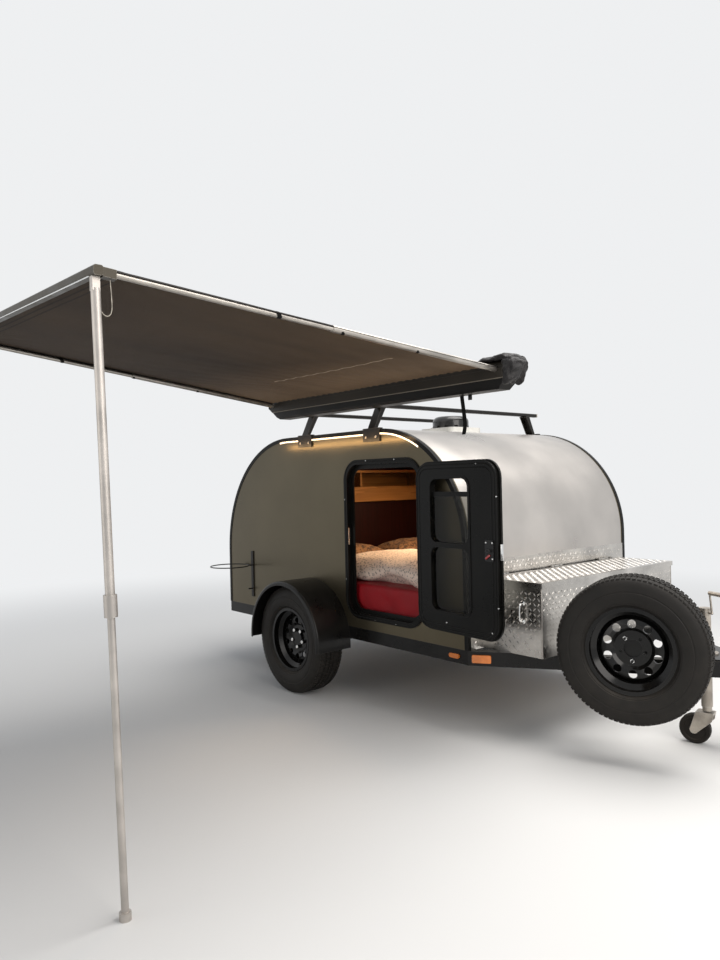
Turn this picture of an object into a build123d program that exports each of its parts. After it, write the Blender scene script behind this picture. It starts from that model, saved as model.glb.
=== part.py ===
from build123d import *
import os
from math import atan, cos, degrees, hypot, radians, sin, sqrt

# A teardrop camping trailer, parked on its tongue jack: right door open, side awning pulled out.
# Modelled in trailer coordinates and millimetres: X forward from the rear face of the body,
# Y to the trailer's left, Z up from the ground. The finished trailer is then moved so that the
# origin is on the ground under the middle of the whole.

# Fits
MOVING_GAP = 5
SEAT_GAP = 0.3
PIN_GAP = 0.3

# Body shell
BODY_LENGTH = 2440
BODY_WIDTH = 1560
BODY_BOTTOM = 456
BODY_HEIGHT = 1216
FRONT_RADIUS = 675
REAR_RADIUS = 810
WALL = 35
ROOF = 30
FLOOR = 30
TRIM_WIDTH = 22
TRIM_THICK = 3
GUARD_HEIGHT = 464
GUARD_THICK = 2

# Rear hatch
HATCH_HINGE_X = 700
HATCH_BARREL_RADIUS = 8
HATCH_PIN_RADIUS = 4
HATCH_PIN_RISE = 12
HATCH_FIXED_KNUCKLES = 6
HATCH_FIXED_LENGTH = 80
HATCH_END_MARGIN = 145
HATCH_LEAF = 36
HANDLE_WIDTH = 120
HANDLE_REACH = 24
HANDLE_THICK = 12
HANDLE_RISE = 40

# Doors, one in each side wall
DOOR_FROM_FRONT = 350
DOOR_WIDTH = 620
DOOR_HEIGHT = 910
DOOR_SILL = 95
DOOR_RADIUS = 95
DOOR_THICK = 30
DOOR_PLATE = 12
DOOR_STEP = 10
DOOR_PROUD = 13
DOOR_OPEN_ANGLE = 176
JAMB_THICK = 5
FRAME_FLANGE = 30
FRAME_FLANGE_THICK = 8
DOOR_STOP = 22
DOOR_STOP_THICK = 8
WINDOW_WIDTH = 285
WINDOW_HEIGHT = 700
WINDOW_FROM_HINGE = 127
WINDOW_RISE = 115
WINDOW_RADIUS = 45
WINDOW_BAR = 26
WINDOW_LIP = 14
WINDOW_LIP_RISE = 4
SASH_DROP = 68
SASH_THICK = 10
GLASS_THICK = 5
HINGE_INSET = 120
KNUCKLE_RADIUS = 6
KNUCKLE_LENGTH = 26
HINGE_PIN_RADIUS = 3
HINGE_REACH = 20
STRAP_LENGTH = 60
STRAP_THICK = 4
LATCH_FROM_EDGE = 62
PADDLE_SIZE = (64, 90)
PADDLE_THICK = 9
LATCH_PLATE_SIZE = (56, 104)
LATCH_PLATE_THICK = 5
LATCH_RADIUS = 8
LEVER_SIZE = (30, 16)
LEVER_REACH = 12

# Chassis
RAIL_WIDTH = 50
RAIL_HEIGHT = 76
CROSSMEMBER_BEHIND_AXLE = 520
CROSSMEMBER_AHEAD = 250
TONGUE_LENGTH = 1120
TONGUE_TIP_HALF = 36
JACK_PLATE = 6
JACK_PLATE_BACK = 60

# Coupler
COUPLER_LENGTH = 230
COUPLER_BALL_RADIUS = 25.4
COUPLER_SHELL = 6
COUPLER_WIDTH = 84
COUPLER_HEIGHT = 54
COUPLER_FLARE = 22
COUPLER_LATCH_BACK = 80
COUPLER_LATCH_RADIUS = 16
COUPLER_HANDLE = (70, 22, 8)

# Wheels and axle
TYRE_RADIUS = 345
TYRE_WIDTH = 205
TYRE_TO_WALL = 12.5
TYRE_CROWN = 4
RIM_RADIUS = 190.5
RIM_FLANGE = 12
RIM_WIDTH = 165
RIM_SHEET = 5
RIM_DROP = 24
RIM_WINDOW_COUNT = 10
RIM_WINDOW_RADIUS = 19.5
RIM_WINDOW_RING = 118
LUG_RING = 57.15
LUG_RADIUS = 11
LUG_HEIGHT = 17
LUG_COUNT = 5
LUG_TURN = 35
WHEEL_BORE = 42
HUB_RADIUS = 40
HUB_FLANGE_RADIUS = 78
HUB_LENGTH = 100
SPINDLE_RADIUS = 16
AXLE_TUBE = 60
AXLE_LEAD = 150
AXLE_ARM = 22

# Fenders
FENDER_GAP = 37
FENDER_COVER = 42.5
FENDER_TO_DOOR = 8
FENDER_SHEET = 3
FENDER_LIP = 26
FENDER_SKIRT = 25
FENDER_EDGE = 16

# Tongue box
BOX_LENGTH = 380
BOX_INSET = 125
BOX_HEIGHT = 374
BOX_SHEET = 3
LID_SKIRT = 26
LID_OVERHANG = 8
LID_RISE = 4
LID_KNUCKLE = 6
LID_HINGE_INSET = 155
LID_HINGE_WIDTH = 50

# Spare wheel on the right tongue member
SPARE_CLEARANCE = 39
SPARE_INSET = 280
SPARE_Z = 550
SPARE_TURN = 20
CARRIER_TUBE = 50
CARRIER_PLATE = 75
CARRIER_PLATE_THICK = 8
STUD_RADIUS = 6
STUD_LENGTH = 34
STUD_TURNS = (0, 144, 216)

# Tongue jack
JACK_FROM_END = 230
JACK_RADIUS = 27
JACK_WALL = 4
JACK_RISE = 234
JACK_BOTTOM = 195
JACK_FLANGE = 32
JACK_CAP = 6
JACK_LEG_CLEARANCE = 0.5
JACK_LEG_GRIP = 150
CASTER_RADIUS = 75
CASTER_WIDTH = 44
CASTER_TRAIL = 58
CASTER_TURN = 12
CASTER_HEAD = 24
CASTER_KING_RADIUS = 8
FORK_PLATE = 5
FORK_FRONT = 34
FORK_CROWN = 12
FORK_EYE = 20
CASTER_PIN_RADIUS = 6
CRANK_DROP = 22
CRANK_SHAFT = 22
CRANK_REACH = 100
CRANK_TURN = -25
CRANK_ROD = 5
CRANK_BACK = 14
CRANK_GRIP_RADIUS = 11
CRANK_GRIP_LENGTH = 95

# Roof rack
RACK_FROM_REAR_ARC = 220
RACK_FROM_FRONT_ARC = 55
RACK_BAR_WIDTH = 40
RACK_BAR_HEIGHT = 24
RACK_BAR_CORNER = 8
RACK_BAR_SLOT = 8
RACK_BAR_SLOT_DEPTH = 4
RACK_RISE = 150
RACK_BAR_OVERHANG = 55
RACK_FOOT_WIDTH = 150
RACK_FOOT_DROP = 72
RACK_FOOT_SHEET = 7
RACK_ARM_WIDTH = 62
RACK_ARM_LEAN = 90
RACK_ARM_DEPTH = 24
RACK_ARM_FLARE = 36

# Roof vent
VENT_BEHIND_BAR = 180
VENT_Y = 110
VENT_SIZE = 380
VENT_STEP = 35
VENT_FLANGE = 8
VENT_CORNER = 30
VENT_OPENING = 210
VENT_RISE = 45
DOME_RADIUS = 125
DOME_HEIGHT = 78
DOME_CORNER = 40
DOME_SHELL = 4
DOME_NOTCHES = 12
DOME_NOTCH = (30, 26, 24)
VENT_PIN_BACK = 8
VENT_PIN_RISE = 10
VENT_PIN_RADIUS = 3
VENT_EAR_Y = 40
VENT_ARM_HALF = 28

# Awning
CASE_LENGTH = 1997
CASE_REAR_OVERHANG = 180
CASE_TO_BAR = 15
CASE_DEPTH = 100
CASE_DROP = 34
CASE_HEIGHT = 130
CASE_PAN_HEIGHT = 48
CASE_PAN_INSET = 4
CASE_CHAMFER = 14
CASE_MOUTH_DROP = 14
CASE_MOUTH_WIDTH = 20
CASE_MOUTH_DEPTH = 10
CASE_CAP = 6
CASE_CAP_LIP = 3
CASE_REAR_TIP = (110, 78)
CASE_FRONT_TIP = (46, 34)
CASE_HOOK_HALF = 30
CASE_HOOK_REACH = 60
CASE_HOOK_THICK = 6
AWNING_REACH = 1900
LEAD_Z = 2030
LEAD_RISE = 100
LEAD_SIZE = 32
LEAD_OVERHANG = 16
LEAD_CORNER = 8
LEAD_BLOCK_REACH = 42
LEAD_BLOCK_DROP = 3
RAFTER_RADIUS = 11
RAFTER_SLEEVE_RADIUS = 14
RAFTER_DROP = 36
RAFTER_INSET = 47
RAFTER_SPLIT = 0.52
LEG_INSET = 16
LEG_LEAN = 55
LEG_RADIUS = 12
LEG_SLEEVE_RADIUS = 15
LEG_COLLAR_Z = 1000
LEG_COLLAR_LOW = 45
LEG_COLLAR_HIGH = 25
LEG_COLLAR_WALL = 6
LEG_FOOT_RADIUS = 19
LEG_FOOT_HEIGHT = 26
LEG_KNUCKLE = 24
LEG_KNUCKLE_HEIGHT = 36
LEG_KNUCKLE_GRIP = 8
CANOPY_THICK = 3
BAG_BACK = 200
BAG_LENGTH = 70
BAG_RISE = 30
BAG_HANG = 113
BAG_OVERLAP = (8, 12)
BAG_CORNER = 12

# Fittings
LED_FROM_HATCH = 30
LED_FROM_FRONT = 340
LED_WIDTH = 9
LED_THICK = 6
HOLDER_X = 330
HOLDER_FROM_BOTTOM = 69
HOLDER_HEIGHT = 337
HOLDER_WIDTH = 27
HOLDER_THICK = 8
HOOP_BACK = 80
HOOP_OUT = 150
HOOP_Z = 757
HOOP_RADIUS = 140
HOOP_ROD = 4
HOOK_RISE = 60
HOOK_REACH = 34
HOOK_RADIUS = 5
TAIL_LAMP_SIZE = (150, 80)
TAIL_LAMP_THICK = 20
TAIL_LAMP_INSET = 110
TAIL_LAMP_RISE = 150
RAIL_LAMP_SIZE = (70, 24)
RAIL_LAMP_FROM_FRONT = 95
RAIL_LAMP_THICK = 10
TONGUE_LAMP_SIZE = (100, 40)
TONGUE_LAMP_ALONG = 70
TONGUE_LAMP_THICK = 14

# Cabin and galley
BULKHEAD_X = 650
BOARD = 18
SHELF_Z = 1205
SHELF_FASCIA = 115
SHELF_TOP = 1430
SHELF_DEPTH = 230
SHELF_FORWARD = 30
SHELF_SIDE_GAP = 20
COUNTER_Z = 930
COUNTER_X = 130
COUNTER_THICK = 25
COUNTER_TOE = 30
CUPBOARD_SPLIT = 480
MATTRESS_TOP = 725
MATTRESS_CORNER = 28
MATTRESS_TO_FRONT = 60
MATTRESS_TO_WALL = 12
BLANKET_FROM_BULKHEAD = 530
BLANKET_TO_FRONT = 240
BLANKET_TO_WALL = 22
BLANKET_LEFT_Y = 120
BLANKET_THICK = 150
BLANKET_CORNER = 55
PILLOW_LENGTH = 422
PILLOW_THICK = 175
PILLOW_CORNER = 60
PILLOW_TO_WALL = 40
PILLOW_BETWEEN = 35

HALF = BODY_WIDTH / 2
INNER = HALF - WALL
BODY_TOP = BODY_BOTTOM + BODY_HEIGHT
RAIL_TOP = BODY_BOTTOM
RAIL_BOTTOM = RAIL_TOP - RAIL_HEIGHT
HATCH_SILL = BODY_TOP - REAR_RADIUS
FRONT_SPRING = BODY_TOP - FRONT_RADIUS

DOOR_BOTTOM = BODY_BOTTOM + DOOR_SILL
DOOR_FRONT_X = BODY_LENGTH - DOOR_FROM_FRONT
DOOR_REAR_X = DOOR_FRONT_X - DOOR_WIDTH
DOOR_CENTRE = ((DOOR_REAR_X + DOOR_FRONT_X) / 2, DOOR_BOTTOM + DOOR_HEIGHT / 2)
DOOR_OUTER_Y = -HALF - DOOR_PROUD
DOOR_PIN_X = DOOR_FRONT_X + HINGE_REACH
DOOR_PIN_Y = HALF + DOOR_PROUD + STRAP_THICK / 2 + KNUCKLE_RADIUS
HINGE_HEIGHTS = (DOOR_BOTTOM + HINGE_INSET, DOOR_BOTTOM + DOOR_HEIGHT - HINGE_INSET)

HATCH_TOP_Z = HATCH_SILL + sqrt(REAR_RADIUS ** 2 - (REAR_RADIUS - HATCH_HINGE_X) ** 2)
HATCH_PIN_Z = HATCH_TOP_Z + HATCH_PIN_RISE
HATCH_PITCH = 2 * (INNER - HATCH_END_MARGIN) / (HATCH_FIXED_KNUCKLES - 1)

AXLE_Z = TYRE_RADIUS
FENDER_RADIUS = TYRE_RADIUS + FENDER_GAP
AXLE_X = DOOR_REAR_X - FENDER_TO_DOOR - FENDER_RADIUS
TRACK_HALF = HALF + TYRE_TO_WALL + TYRE_WIDTH / 2
FENDER_OUT = TRACK_HALF + TYRE_WIDTH / 2 + FENDER_COVER

TONGUE_SLOPE = (HALF - TONGUE_TIP_HALF) / TONGUE_LENGTH
TONGUE_ANGLE = degrees(atan(TONGUE_SLOPE))
TONGUE_END_X = BODY_LENGTH + TONGUE_LENGTH
TONGUE_STEP = RAIL_WIDTH / cos(radians(TONGUE_ANGLE))

BOX_X = BODY_LENGTH + GUARD_THICK
BOX_HALF_WIDTH = HALF - BOX_INSET
BOX_TOP = RAIL_TOP + BOX_HEIGHT
LID_PIN_X = BOX_X + LID_KNUCKLE + MOVING_GAP + 1
LID_PIN_Z = BOX_TOP + LID_KNUCKLE
LID_HINGE_Y = (LID_HINGE_INSET - BOX_HALF_WIDTH, 0, BOX_HALF_WIDTH - LID_HINGE_INSET)

SPARE_SINE = sin(radians(SPARE_TURN))
SPARE_COSINE = cos(radians(SPARE_TURN))
SPARE_REACH = TYRE_RADIUS * SPARE_COSINE + TYRE_WIDTH / 2 * SPARE_SINE
SPARE_X = BOX_X + BOX_LENGTH + SPARE_CLEARANCE + SPARE_REACH
SPARE_Y = SPARE_INSET - HALF
MEMBER_Y = (SPARE_X - BODY_LENGTH) * TONGUE_SLOPE - HALF + TONGUE_STEP / 2
CARRIER_BACK = (MEMBER_Y - SPARE_Y) / (SPARE_COSINE + SPARE_SINE * TONGUE_SLOPE)

JACK_X = TONGUE_END_X - JACK_FROM_END
JACK_TOP = RAIL_TOP + JACK_RISE
JACK_FOOT = 2 * CASTER_RADIUS + CASTER_HEAD
FORK_CROWN_Z = JACK_FOOT - FORK_CROWN
COUPLER_X = TONGUE_END_X + COUPLER_LENGTH - COUPLER_BALL_RADIUS - COUPLER_SHELL - 8
COUPLER_SOCKET = COUPLER_BALL_RADIUS + 0.6
COUPLER_Z = RAIL_TOP - 1.5 * COUPLER_SHELL - COUPLER_SOCKET

RACK_BAR_X = (REAR_RADIUS + RACK_FROM_REAR_ARC, BODY_LENGTH - FRONT_RADIUS - RACK_FROM_FRONT_ARC)
RACK_BAR_Z = BODY_TOP + RACK_RISE
RACK_BAR_TOP = RACK_BAR_Z + RACK_BAR_HEIGHT / 2
RACK_BAR_BOTTOM = RACK_BAR_Z - RACK_BAR_HEIGHT / 2
RACK_BAR_HALF = HALF + RACK_BAR_OVERHANG
VENT_X = RACK_BAR_X[1] - VENT_BEHIND_BAR
VENT_TOP = BODY_TOP + VENT_RISE
VENT_PIN_X = VENT_X - DOME_RADIUS - VENT_PIN_BACK
VENT_PIN_Z = VENT_TOP + VENT_PIN_RISE

CASE_START_X = RACK_BAR_X[0] - CASE_REAR_OVERHANG
CASE_END_X = CASE_START_X + CASE_LENGTH
CASE_BACK_Y = -RACK_BAR_HALF - CASE_TO_BAR
CASE_FRONT_Y = CASE_BACK_Y - CASE_DEPTH
CASE_BOTTOM = RACK_BAR_Z - CASE_DROP
CASE_TOP = CASE_BOTTOM + CASE_HEIGHT
LEAD_Y = CASE_FRONT_Y - AWNING_REACH
RAFTER_X = (CASE_START_X + RAFTER_INSET, CASE_END_X - RAFTER_INSET)
LEG_X = (RAFTER_X[0] + LEG_INSET, RAFTER_X[1] - LEG_INSET)

LED_START_X = HATCH_HINGE_X + LED_FROM_HATCH
LED_END_X = BODY_LENGTH - LED_FROM_FRONT
HOLDER_BOTTOM = BODY_BOTTOM + HOLDER_FROM_BOTTOM
HOLDER_TOP = HOLDER_BOTTOM + HOLDER_HEIGHT
HOOP_CENTRE = (HOLDER_X - HOOP_BACK, -HALF - HOOP_OUT)


def block(x, y, z):
    """A box given by its low and high X, Y and Z."""
    size = (x[1] - x[0], y[1] - y[0], z[1] - z[0])
    centre = ((x[0] + x[1]) / 2, (y[0] + y[1]) / 2, (z[0] + z[1]) / 2)
    return Pos(*centre) * Box(*size)


def rod(start, end, radius):
    """A round bar between two points."""
    a = Vector(*start)
    b = Vector(*end)
    plane = Plane(origin=a, z_dir=b - a)
    return plane * Cylinder(radius, (b - a).length, align=(Align.CENTER, Align.CENTER, Align.MIN))


def rod_y(x, y, z, radius):
    """A round bar along Y at (x, z), from y[0] to y[1]."""
    return rod((x, y[0], z), (x, y[1], z), radius)


def rod_z(x, y, z, radius):
    """An upright round bar at (x, y), from z[0] to z[1]."""
    return rod((x, y, z[0]), (x, y, z[1]), radius)


def prism_xz(points, y):
    """A polygon given by (X, Z) corners, thick from y[0] to y[1]."""
    face = make_face(Polyline(*[(px, y[0], pz) for px, pz in points], close=True))
    return extrude(face, amount=y[1] - y[0], dir=(0, 1, 0))


def prism_xy(points, z):
    """A polygon given by (X, Y) corners, thick from z[0] to z[1]."""
    face = make_face(Polyline(*[(px, py, z[0]) for px, py in points], close=True))
    return extrude(face, amount=z[1] - z[0], dir=(0, 0, 1))


def prism_yz(points, x):
    """A polygon given by (Y, Z) corners, thick from x[0] to x[1]."""
    face = make_face(Polyline(*[(x[0], py, pz) for py, pz in points], close=True))
    return extrude(face, amount=x[1] - x[0], dir=(1, 0, 0))


def mirrored(shape):
    """The same piece on the other side of the trailer."""
    return mirror(shape, about=Plane.XZ)


def both_sides(shape):
    """A piece and its mirror image, as one shape."""
    return Part() + [shape, mirrored(shape)]


def around(centre, length):
    """The low and high ends of a length about its centre."""
    return (centre - length / 2, centre + length / 2)


def grown(ends, margin):
    """Low and high ends, each moved outwards by a margin."""
    return (ends[0] - margin, ends[1] + margin)


def corner_arc(centre, radius, start, y):
    """A quarter circle in the XZ plane, from start degrees on."""
    points = []
    for turn in (start, start + 45, start + 90):
        a = radians(turn)
        points.append((centre[0] + radius * cos(a), y, centre[1] + radius * sin(a)))
    return ThreePointArc(*points)


def body_profile(inset, bottom, y):
    """The body's side outline, inset on the roof and ends, thick from y[0] to y[1]."""
    left = inset
    right = BODY_LENGTH - inset
    top = BODY_TOP - inset
    front = FRONT_RADIUS - inset
    rear = REAR_RADIUS - inset
    edges = [
        Line((left, y[0], bottom), (right, y[0], bottom)),
        Line((right, y[0], bottom), (right, y[0], FRONT_SPRING)),
        corner_arc((right - front, FRONT_SPRING), front, 0, y[0]),
        Line((right - front, y[0], top), (left + rear, y[0], top)),
        corner_arc((left + rear, HATCH_SILL), rear, 90, y[0]),
        Line((left, y[0], HATCH_SILL), (left, y[0], bottom)),
    ]
    return extrude(make_face(edges), amount=y[1] - y[0], dir=(0, 1, 0))


def round_rect_xz(centre, size, radius, y):
    """A rounded rectangle in the XZ plane, thick from y[0] to y[1]."""
    plane = Plane(origin=(centre[0], y[0], centre[1]), x_dir=(1, 0, 0), z_dir=(0, 1, 0))
    return extrude(plane * RectangleRounded(*size, radius), amount=y[1] - y[0])


def resized(size, margin):
    """A width and height with the same margin added on every side."""
    return (size[0] + 2 * margin, size[1] + 2 * margin)


def side_wall():
    """The right side wall, with the hole for the door frame."""
    wall = body_profile(0, BODY_BOTTOM, (-HALF, -INNER))
    grow = MOVING_GAP + JAMB_THICK
    size = resized((DOOR_WIDTH, DOOR_HEIGHT), grow)
    return wall - round_rect_xz(DOOR_CENTRE, size, DOOR_RADIUS + grow, (-HALF - 1, -INNER + 1))


def roof_skin():
    """Front wall, front curve and roof in one bent panel, up to the hatch hinge."""
    y = (-INNER, INNER)
    above = (BODY_BOTTOM - 1, BODY_TOP + 1)
    shell = body_profile(0, BODY_BOTTOM, y) - body_profile(ROOF, BODY_BOTTOM - 1, grown(y, 1))
    shell = shell & block((HATCH_HINGE_X + MOVING_GAP / 2, BODY_LENGTH + 1), y, above)
    vent = (around(VENT_X, VENT_OPENING), around(VENT_Y, VENT_OPENING))
    shell -= block(*vent, (BODY_TOP - ROOF - 1, BODY_TOP + 1))
    return shell + hatch_hinge_fixed()


def hatch_knuckles():
    """Where the roof's hinge knuckles are along Y, and the hatch's knuckles between them."""
    first = HATCH_END_MARGIN - INNER
    fixed = [first + i * HATCH_PITCH for i in range(HATCH_FIXED_KNUCKLES)]
    moving = [y + HATCH_PITCH / 2 for y in fixed[:-1]]
    return fixed, moving


def hatch_hinge_fixed():
    """The roof's half of the hatch hinge: the pin and its strips with their knuckles."""
    fixed, moving = hatch_knuckles()
    ends = grown((fixed[0], fixed[-1]), HATCH_FIXED_LENGTH / 2 + MOVING_GAP)
    hinge = rod_y(HATCH_HINGE_X, ends, HATCH_PIN_Z, HATCH_PIN_RADIUS)
    edge = HATCH_HINGE_X + MOVING_GAP / 2
    low = HATCH_TOP_Z - 2 * MOVING_GAP
    for y in fixed:
        span = around(y, HATCH_FIXED_LENGTH)
        hinge += rod_y(HATCH_HINGE_X, span, HATCH_PIN_Z, HATCH_BARREL_RADIUS)
        hinge += block((edge, edge + HATCH_LEAF), span, (low, HATCH_TOP_Z + HATCH_BARREL_RADIUS))
        hinge += block((edge, HATCH_HINGE_X + HATCH_BARREL_RADIUS), span, (low, HATCH_PIN_Z))
    return hinge


def hatch():
    """The curved rear hatch between the side walls, with its half of the hinge and its handle."""
    y = (-INNER + MOVING_GAP, INNER - MOVING_GAP)
    shell = body_profile(0, HATCH_SILL - 1, y) - body_profile(ROOF, HATCH_SILL - 2, grown(y, 1))
    heights = (HATCH_SILL + MOVING_GAP, BODY_TOP + 1)
    shell = shell & block((-1, HATCH_HINGE_X - MOVING_GAP / 2), y, heights)
    fixed, moving = hatch_knuckles()
    length = HATCH_PITCH - HATCH_FIXED_LENGTH - 2 * MOVING_GAP
    leaf_x = HATCH_HINGE_X - HATCH_LEAF - HATCH_PIN_RADIUS
    for centre in moving:
        span = around(centre, length)
        barrel = rod_y(HATCH_HINGE_X, span, HATCH_PIN_Z, HATCH_BARREL_RADIUS)
        leaf_z = (HATCH_PIN_Z - HATCH_BARREL_RADIUS, HATCH_PIN_Z - HATCH_PIN_RADIUS)
        leaf = block((leaf_x, HATCH_HINGE_X), span, leaf_z)
        bore = rod_y(HATCH_HINGE_X, grown(span, 1), HATCH_PIN_Z, HATCH_PIN_RADIUS + PIN_GAP)
        foot_x = (leaf_x, HATCH_HINGE_X - HATCH_BARREL_RADIUS)
        shell += barrel + leaf - bore
        shell += block(foot_x, span, (HATCH_TOP_Z - HATCH_LEAF / 2, leaf_z[1]))
    return shell + hatch_handle()


def hatch_handle():
    """The bar handle near the hatch's lower edge, on its two posts."""
    z = HATCH_SILL + HANDLE_RISE
    radius = HANDLE_THICK / 2
    x = radius - HANDLE_REACH
    half = HANDLE_WIDTH / 2
    handle = rod((x, -half, z), (x, half, z), radius)
    for y in (HANDLE_THICK - half, half - HANDLE_THICK):
        handle += rod((x, y, z), (HANDLE_THICK / 2, y, z), radius * 0.8)
    return handle


def rear_panel():
    """The fixed panel under the hatch."""
    return block((0, ROOF), (-INNER, INNER), (BODY_BOTTOM, HATCH_SILL))


def edge_trim():
    """The black moulding that caps the right wall's edge all the way round."""
    face = body_profile(-TRIM_THICK, BODY_BOTTOM, (-HALF - TRIM_THICK, -HALF))
    face -= body_profile(TRIM_WIDTH, BODY_BOTTOM - 1, (-HALF - TRIM_THICK - 1, -HALF + 1))
    cap = body_profile(-TRIM_THICK, BODY_BOTTOM, (-HALF, -HALF + TRIM_WIDTH))
    cap -= body_profile(0, BODY_BOTTOM - 1, (-HALF - 1, -HALF + TRIM_WIDTH + 1))
    return face + cap


def stone_guard():
    """The plate that shields the lower front of the body."""
    y = HALF - TRIM_WIDTH - 1
    z = (BODY_BOTTOM, BODY_BOTTOM + GUARD_HEIGHT)
    return block((BODY_LENGTH, BODY_LENGTH + GUARD_THICK), (-y, y), z)


def door_frame():
    """The right door's frame: outer flange, jamb through the wall and stop lip."""
    rebate = resized((DOOR_WIDTH, DOOR_HEIGHT), MOVING_GAP)
    corner = DOOR_RADIUS + MOVING_GAP
    flange = resized(rebate, FRAME_FLANGE)
    jamb = resized(rebate, JAMB_THICK)
    stop = resized((DOOR_WIDTH, DOOR_HEIGHT), -DOOR_STOP)
    face = -HALF - FRAME_FLANGE_THICK
    frame = round_rect_xz(DOOR_CENTRE, flange, corner + FRAME_FLANGE, (face, -HALF))
    frame += round_rect_xz(DOOR_CENTRE, jamb, corner + JAMB_THICK, (-HALF, -INNER))
    frame -= round_rect_xz(DOOR_CENTRE, rebate, corner, (face - 1, -INNER - DOOR_STOP_THICK))
    frame -= round_rect_xz(DOOR_CENTRE, stop, DOOR_RADIUS - DOOR_STOP, (-HALF, -INNER + 1))
    for z in HINGE_HEIGHTS:
        middle = around(z, KNUCKLE_LENGTH - 2)
        frame += block((DOOR_PIN_X - 5, DOOR_PIN_X + 5), (-DOOR_PIN_Y, face), middle)
        frame += rod_z(DOOR_PIN_X, -DOOR_PIN_Y, middle, KNUCKLE_RADIUS)
        frame += rod_z(DOOR_PIN_X, -DOOR_PIN_Y, around(z, 3 * KNUCKLE_LENGTH + 6), HINGE_PIN_RADIUS)
    return frame


def window_openings(inset, y):
    """The door window's lower and upper openings, each shrunk by inset."""
    x = DOOR_FRONT_X - WINDOW_FROM_HINGE - WINDOW_WIDTH / 2
    height = (WINDOW_HEIGHT - WINDOW_BAR) / 2
    low = DOOR_BOTTOM + WINDOW_RISE + height / 2
    size = resized((WINDOW_WIDTH, height), -inset)
    return [round_rect_xz((x, z), size, WINDOW_RADIUS - inset, y) for z in (low, low + height + WINDOW_BAR)]


def sash_heights():
    """Low and high Z of the rail on top of the upper pane, which is let down a little."""
    top = DOOR_BOTTOM + WINDOW_RISE + WINDOW_HEIGHT - SASH_DROP
    return (top - WINDOW_BAR, top)


def window_glass():
    """The two panes of the right door's window, the upper one let down with its rail."""
    y = (DOOR_OUTER_Y + DOOR_PLATE, DOOR_OUTER_Y + DOOR_PLATE + GLASS_THICK)
    lower, upper = window_openings(SEAT_GAP, y)
    above = (sash_heights()[0] - SEAT_GAP, DOOR_BOTTOM + DOOR_HEIGHT)
    upper -= block((DOOR_REAR_X, DOOR_FRONT_X), grown(y, 1), above)
    return Part() + [lower, upper]


def door_leaf():
    """The right door, shut: outer plate, thinner body behind it, window mouldings and hinge straps."""
    outer = DOOR_OUTER_Y
    size = (DOOR_WIDTH, DOOR_HEIGHT)
    plate = (outer, outer + DOOR_PLATE)
    body = (plate[1], outer + DOOR_THICK)
    leaf = round_rect_xz(DOOR_CENTRE, size, DOOR_RADIUS, plate)
    leaf += round_rect_xz(DOOR_CENTRE, resized(size, -DOOR_STEP), DOOR_RADIUS - DOOR_STEP, body)
    x = DOOR_FRONT_X - WINDOW_FROM_HINGE - WINDOW_WIDTH / 2
    centre = (x, DOOR_BOTTOM + WINDOW_RISE + WINDOW_HEIGHT / 2)
    moulding = resized((WINDOW_WIDTH, WINDOW_HEIGHT), WINDOW_LIP)
    ends = grown((outer, body[1]), WINDOW_LIP_RISE)
    leaf += round_rect_xz(centre, moulding, WINDOW_RADIUS + WINDOW_LIP, ends)
    for hole in window_openings(0, grown(ends, 1)):
        leaf -= hole
    glass_y = outer + DOOR_PLATE
    leaf += block(around(x, WINDOW_WIDTH + 2), around(glass_y, SASH_THICK), sash_heights())
    for z in HINGE_HEIGHTS:
        for side in (-1, 1):
            span = around(z + side * (KNUCKLE_LENGTH + 1), KNUCKLE_LENGTH)
            strap = block((DOOR_FRONT_X - STRAP_LENGTH, DOOR_PIN_X), (outer - STRAP_THICK, outer), span)
            knuckle = rod_z(DOOR_PIN_X, -DOOR_PIN_Y, span, KNUCKLE_RADIUS)
            bore = rod_z(DOOR_PIN_X, -DOOR_PIN_Y, grown(span, 1), HINGE_PIN_RADIUS + PIN_GAP)
            leaf += strap + knuckle - bore
    return leaf


def door_latch():
    """Outside paddle, and inside latch plate with its lever, near the free edge of the right door."""
    spot = (DOOR_REAR_X + LATCH_FROM_EDGE, DOOR_CENTRE[1])
    outer = DOOR_OUTER_Y
    inner = outer + DOOR_THICK
    face = inner + LATCH_PLATE_THICK
    paddle = round_rect_xz(spot, PADDLE_SIZE, LATCH_RADIUS, (outer - PADDLE_THICK, outer))
    plate = round_rect_xz(spot, LATCH_PLATE_SIZE, LATCH_RADIUS, (inner, face))
    lever = round_rect_xz(spot, LEVER_SIZE, LATCH_RADIUS * 0.9, (face, face + LEVER_REACH))
    return Part() + [paddle, plate + lever]


def tongue_half_width(x):
    """Half the width over the two tongue members at x."""
    return (BODY_LENGTH - x) * TONGUE_SLOPE + HALF


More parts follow.
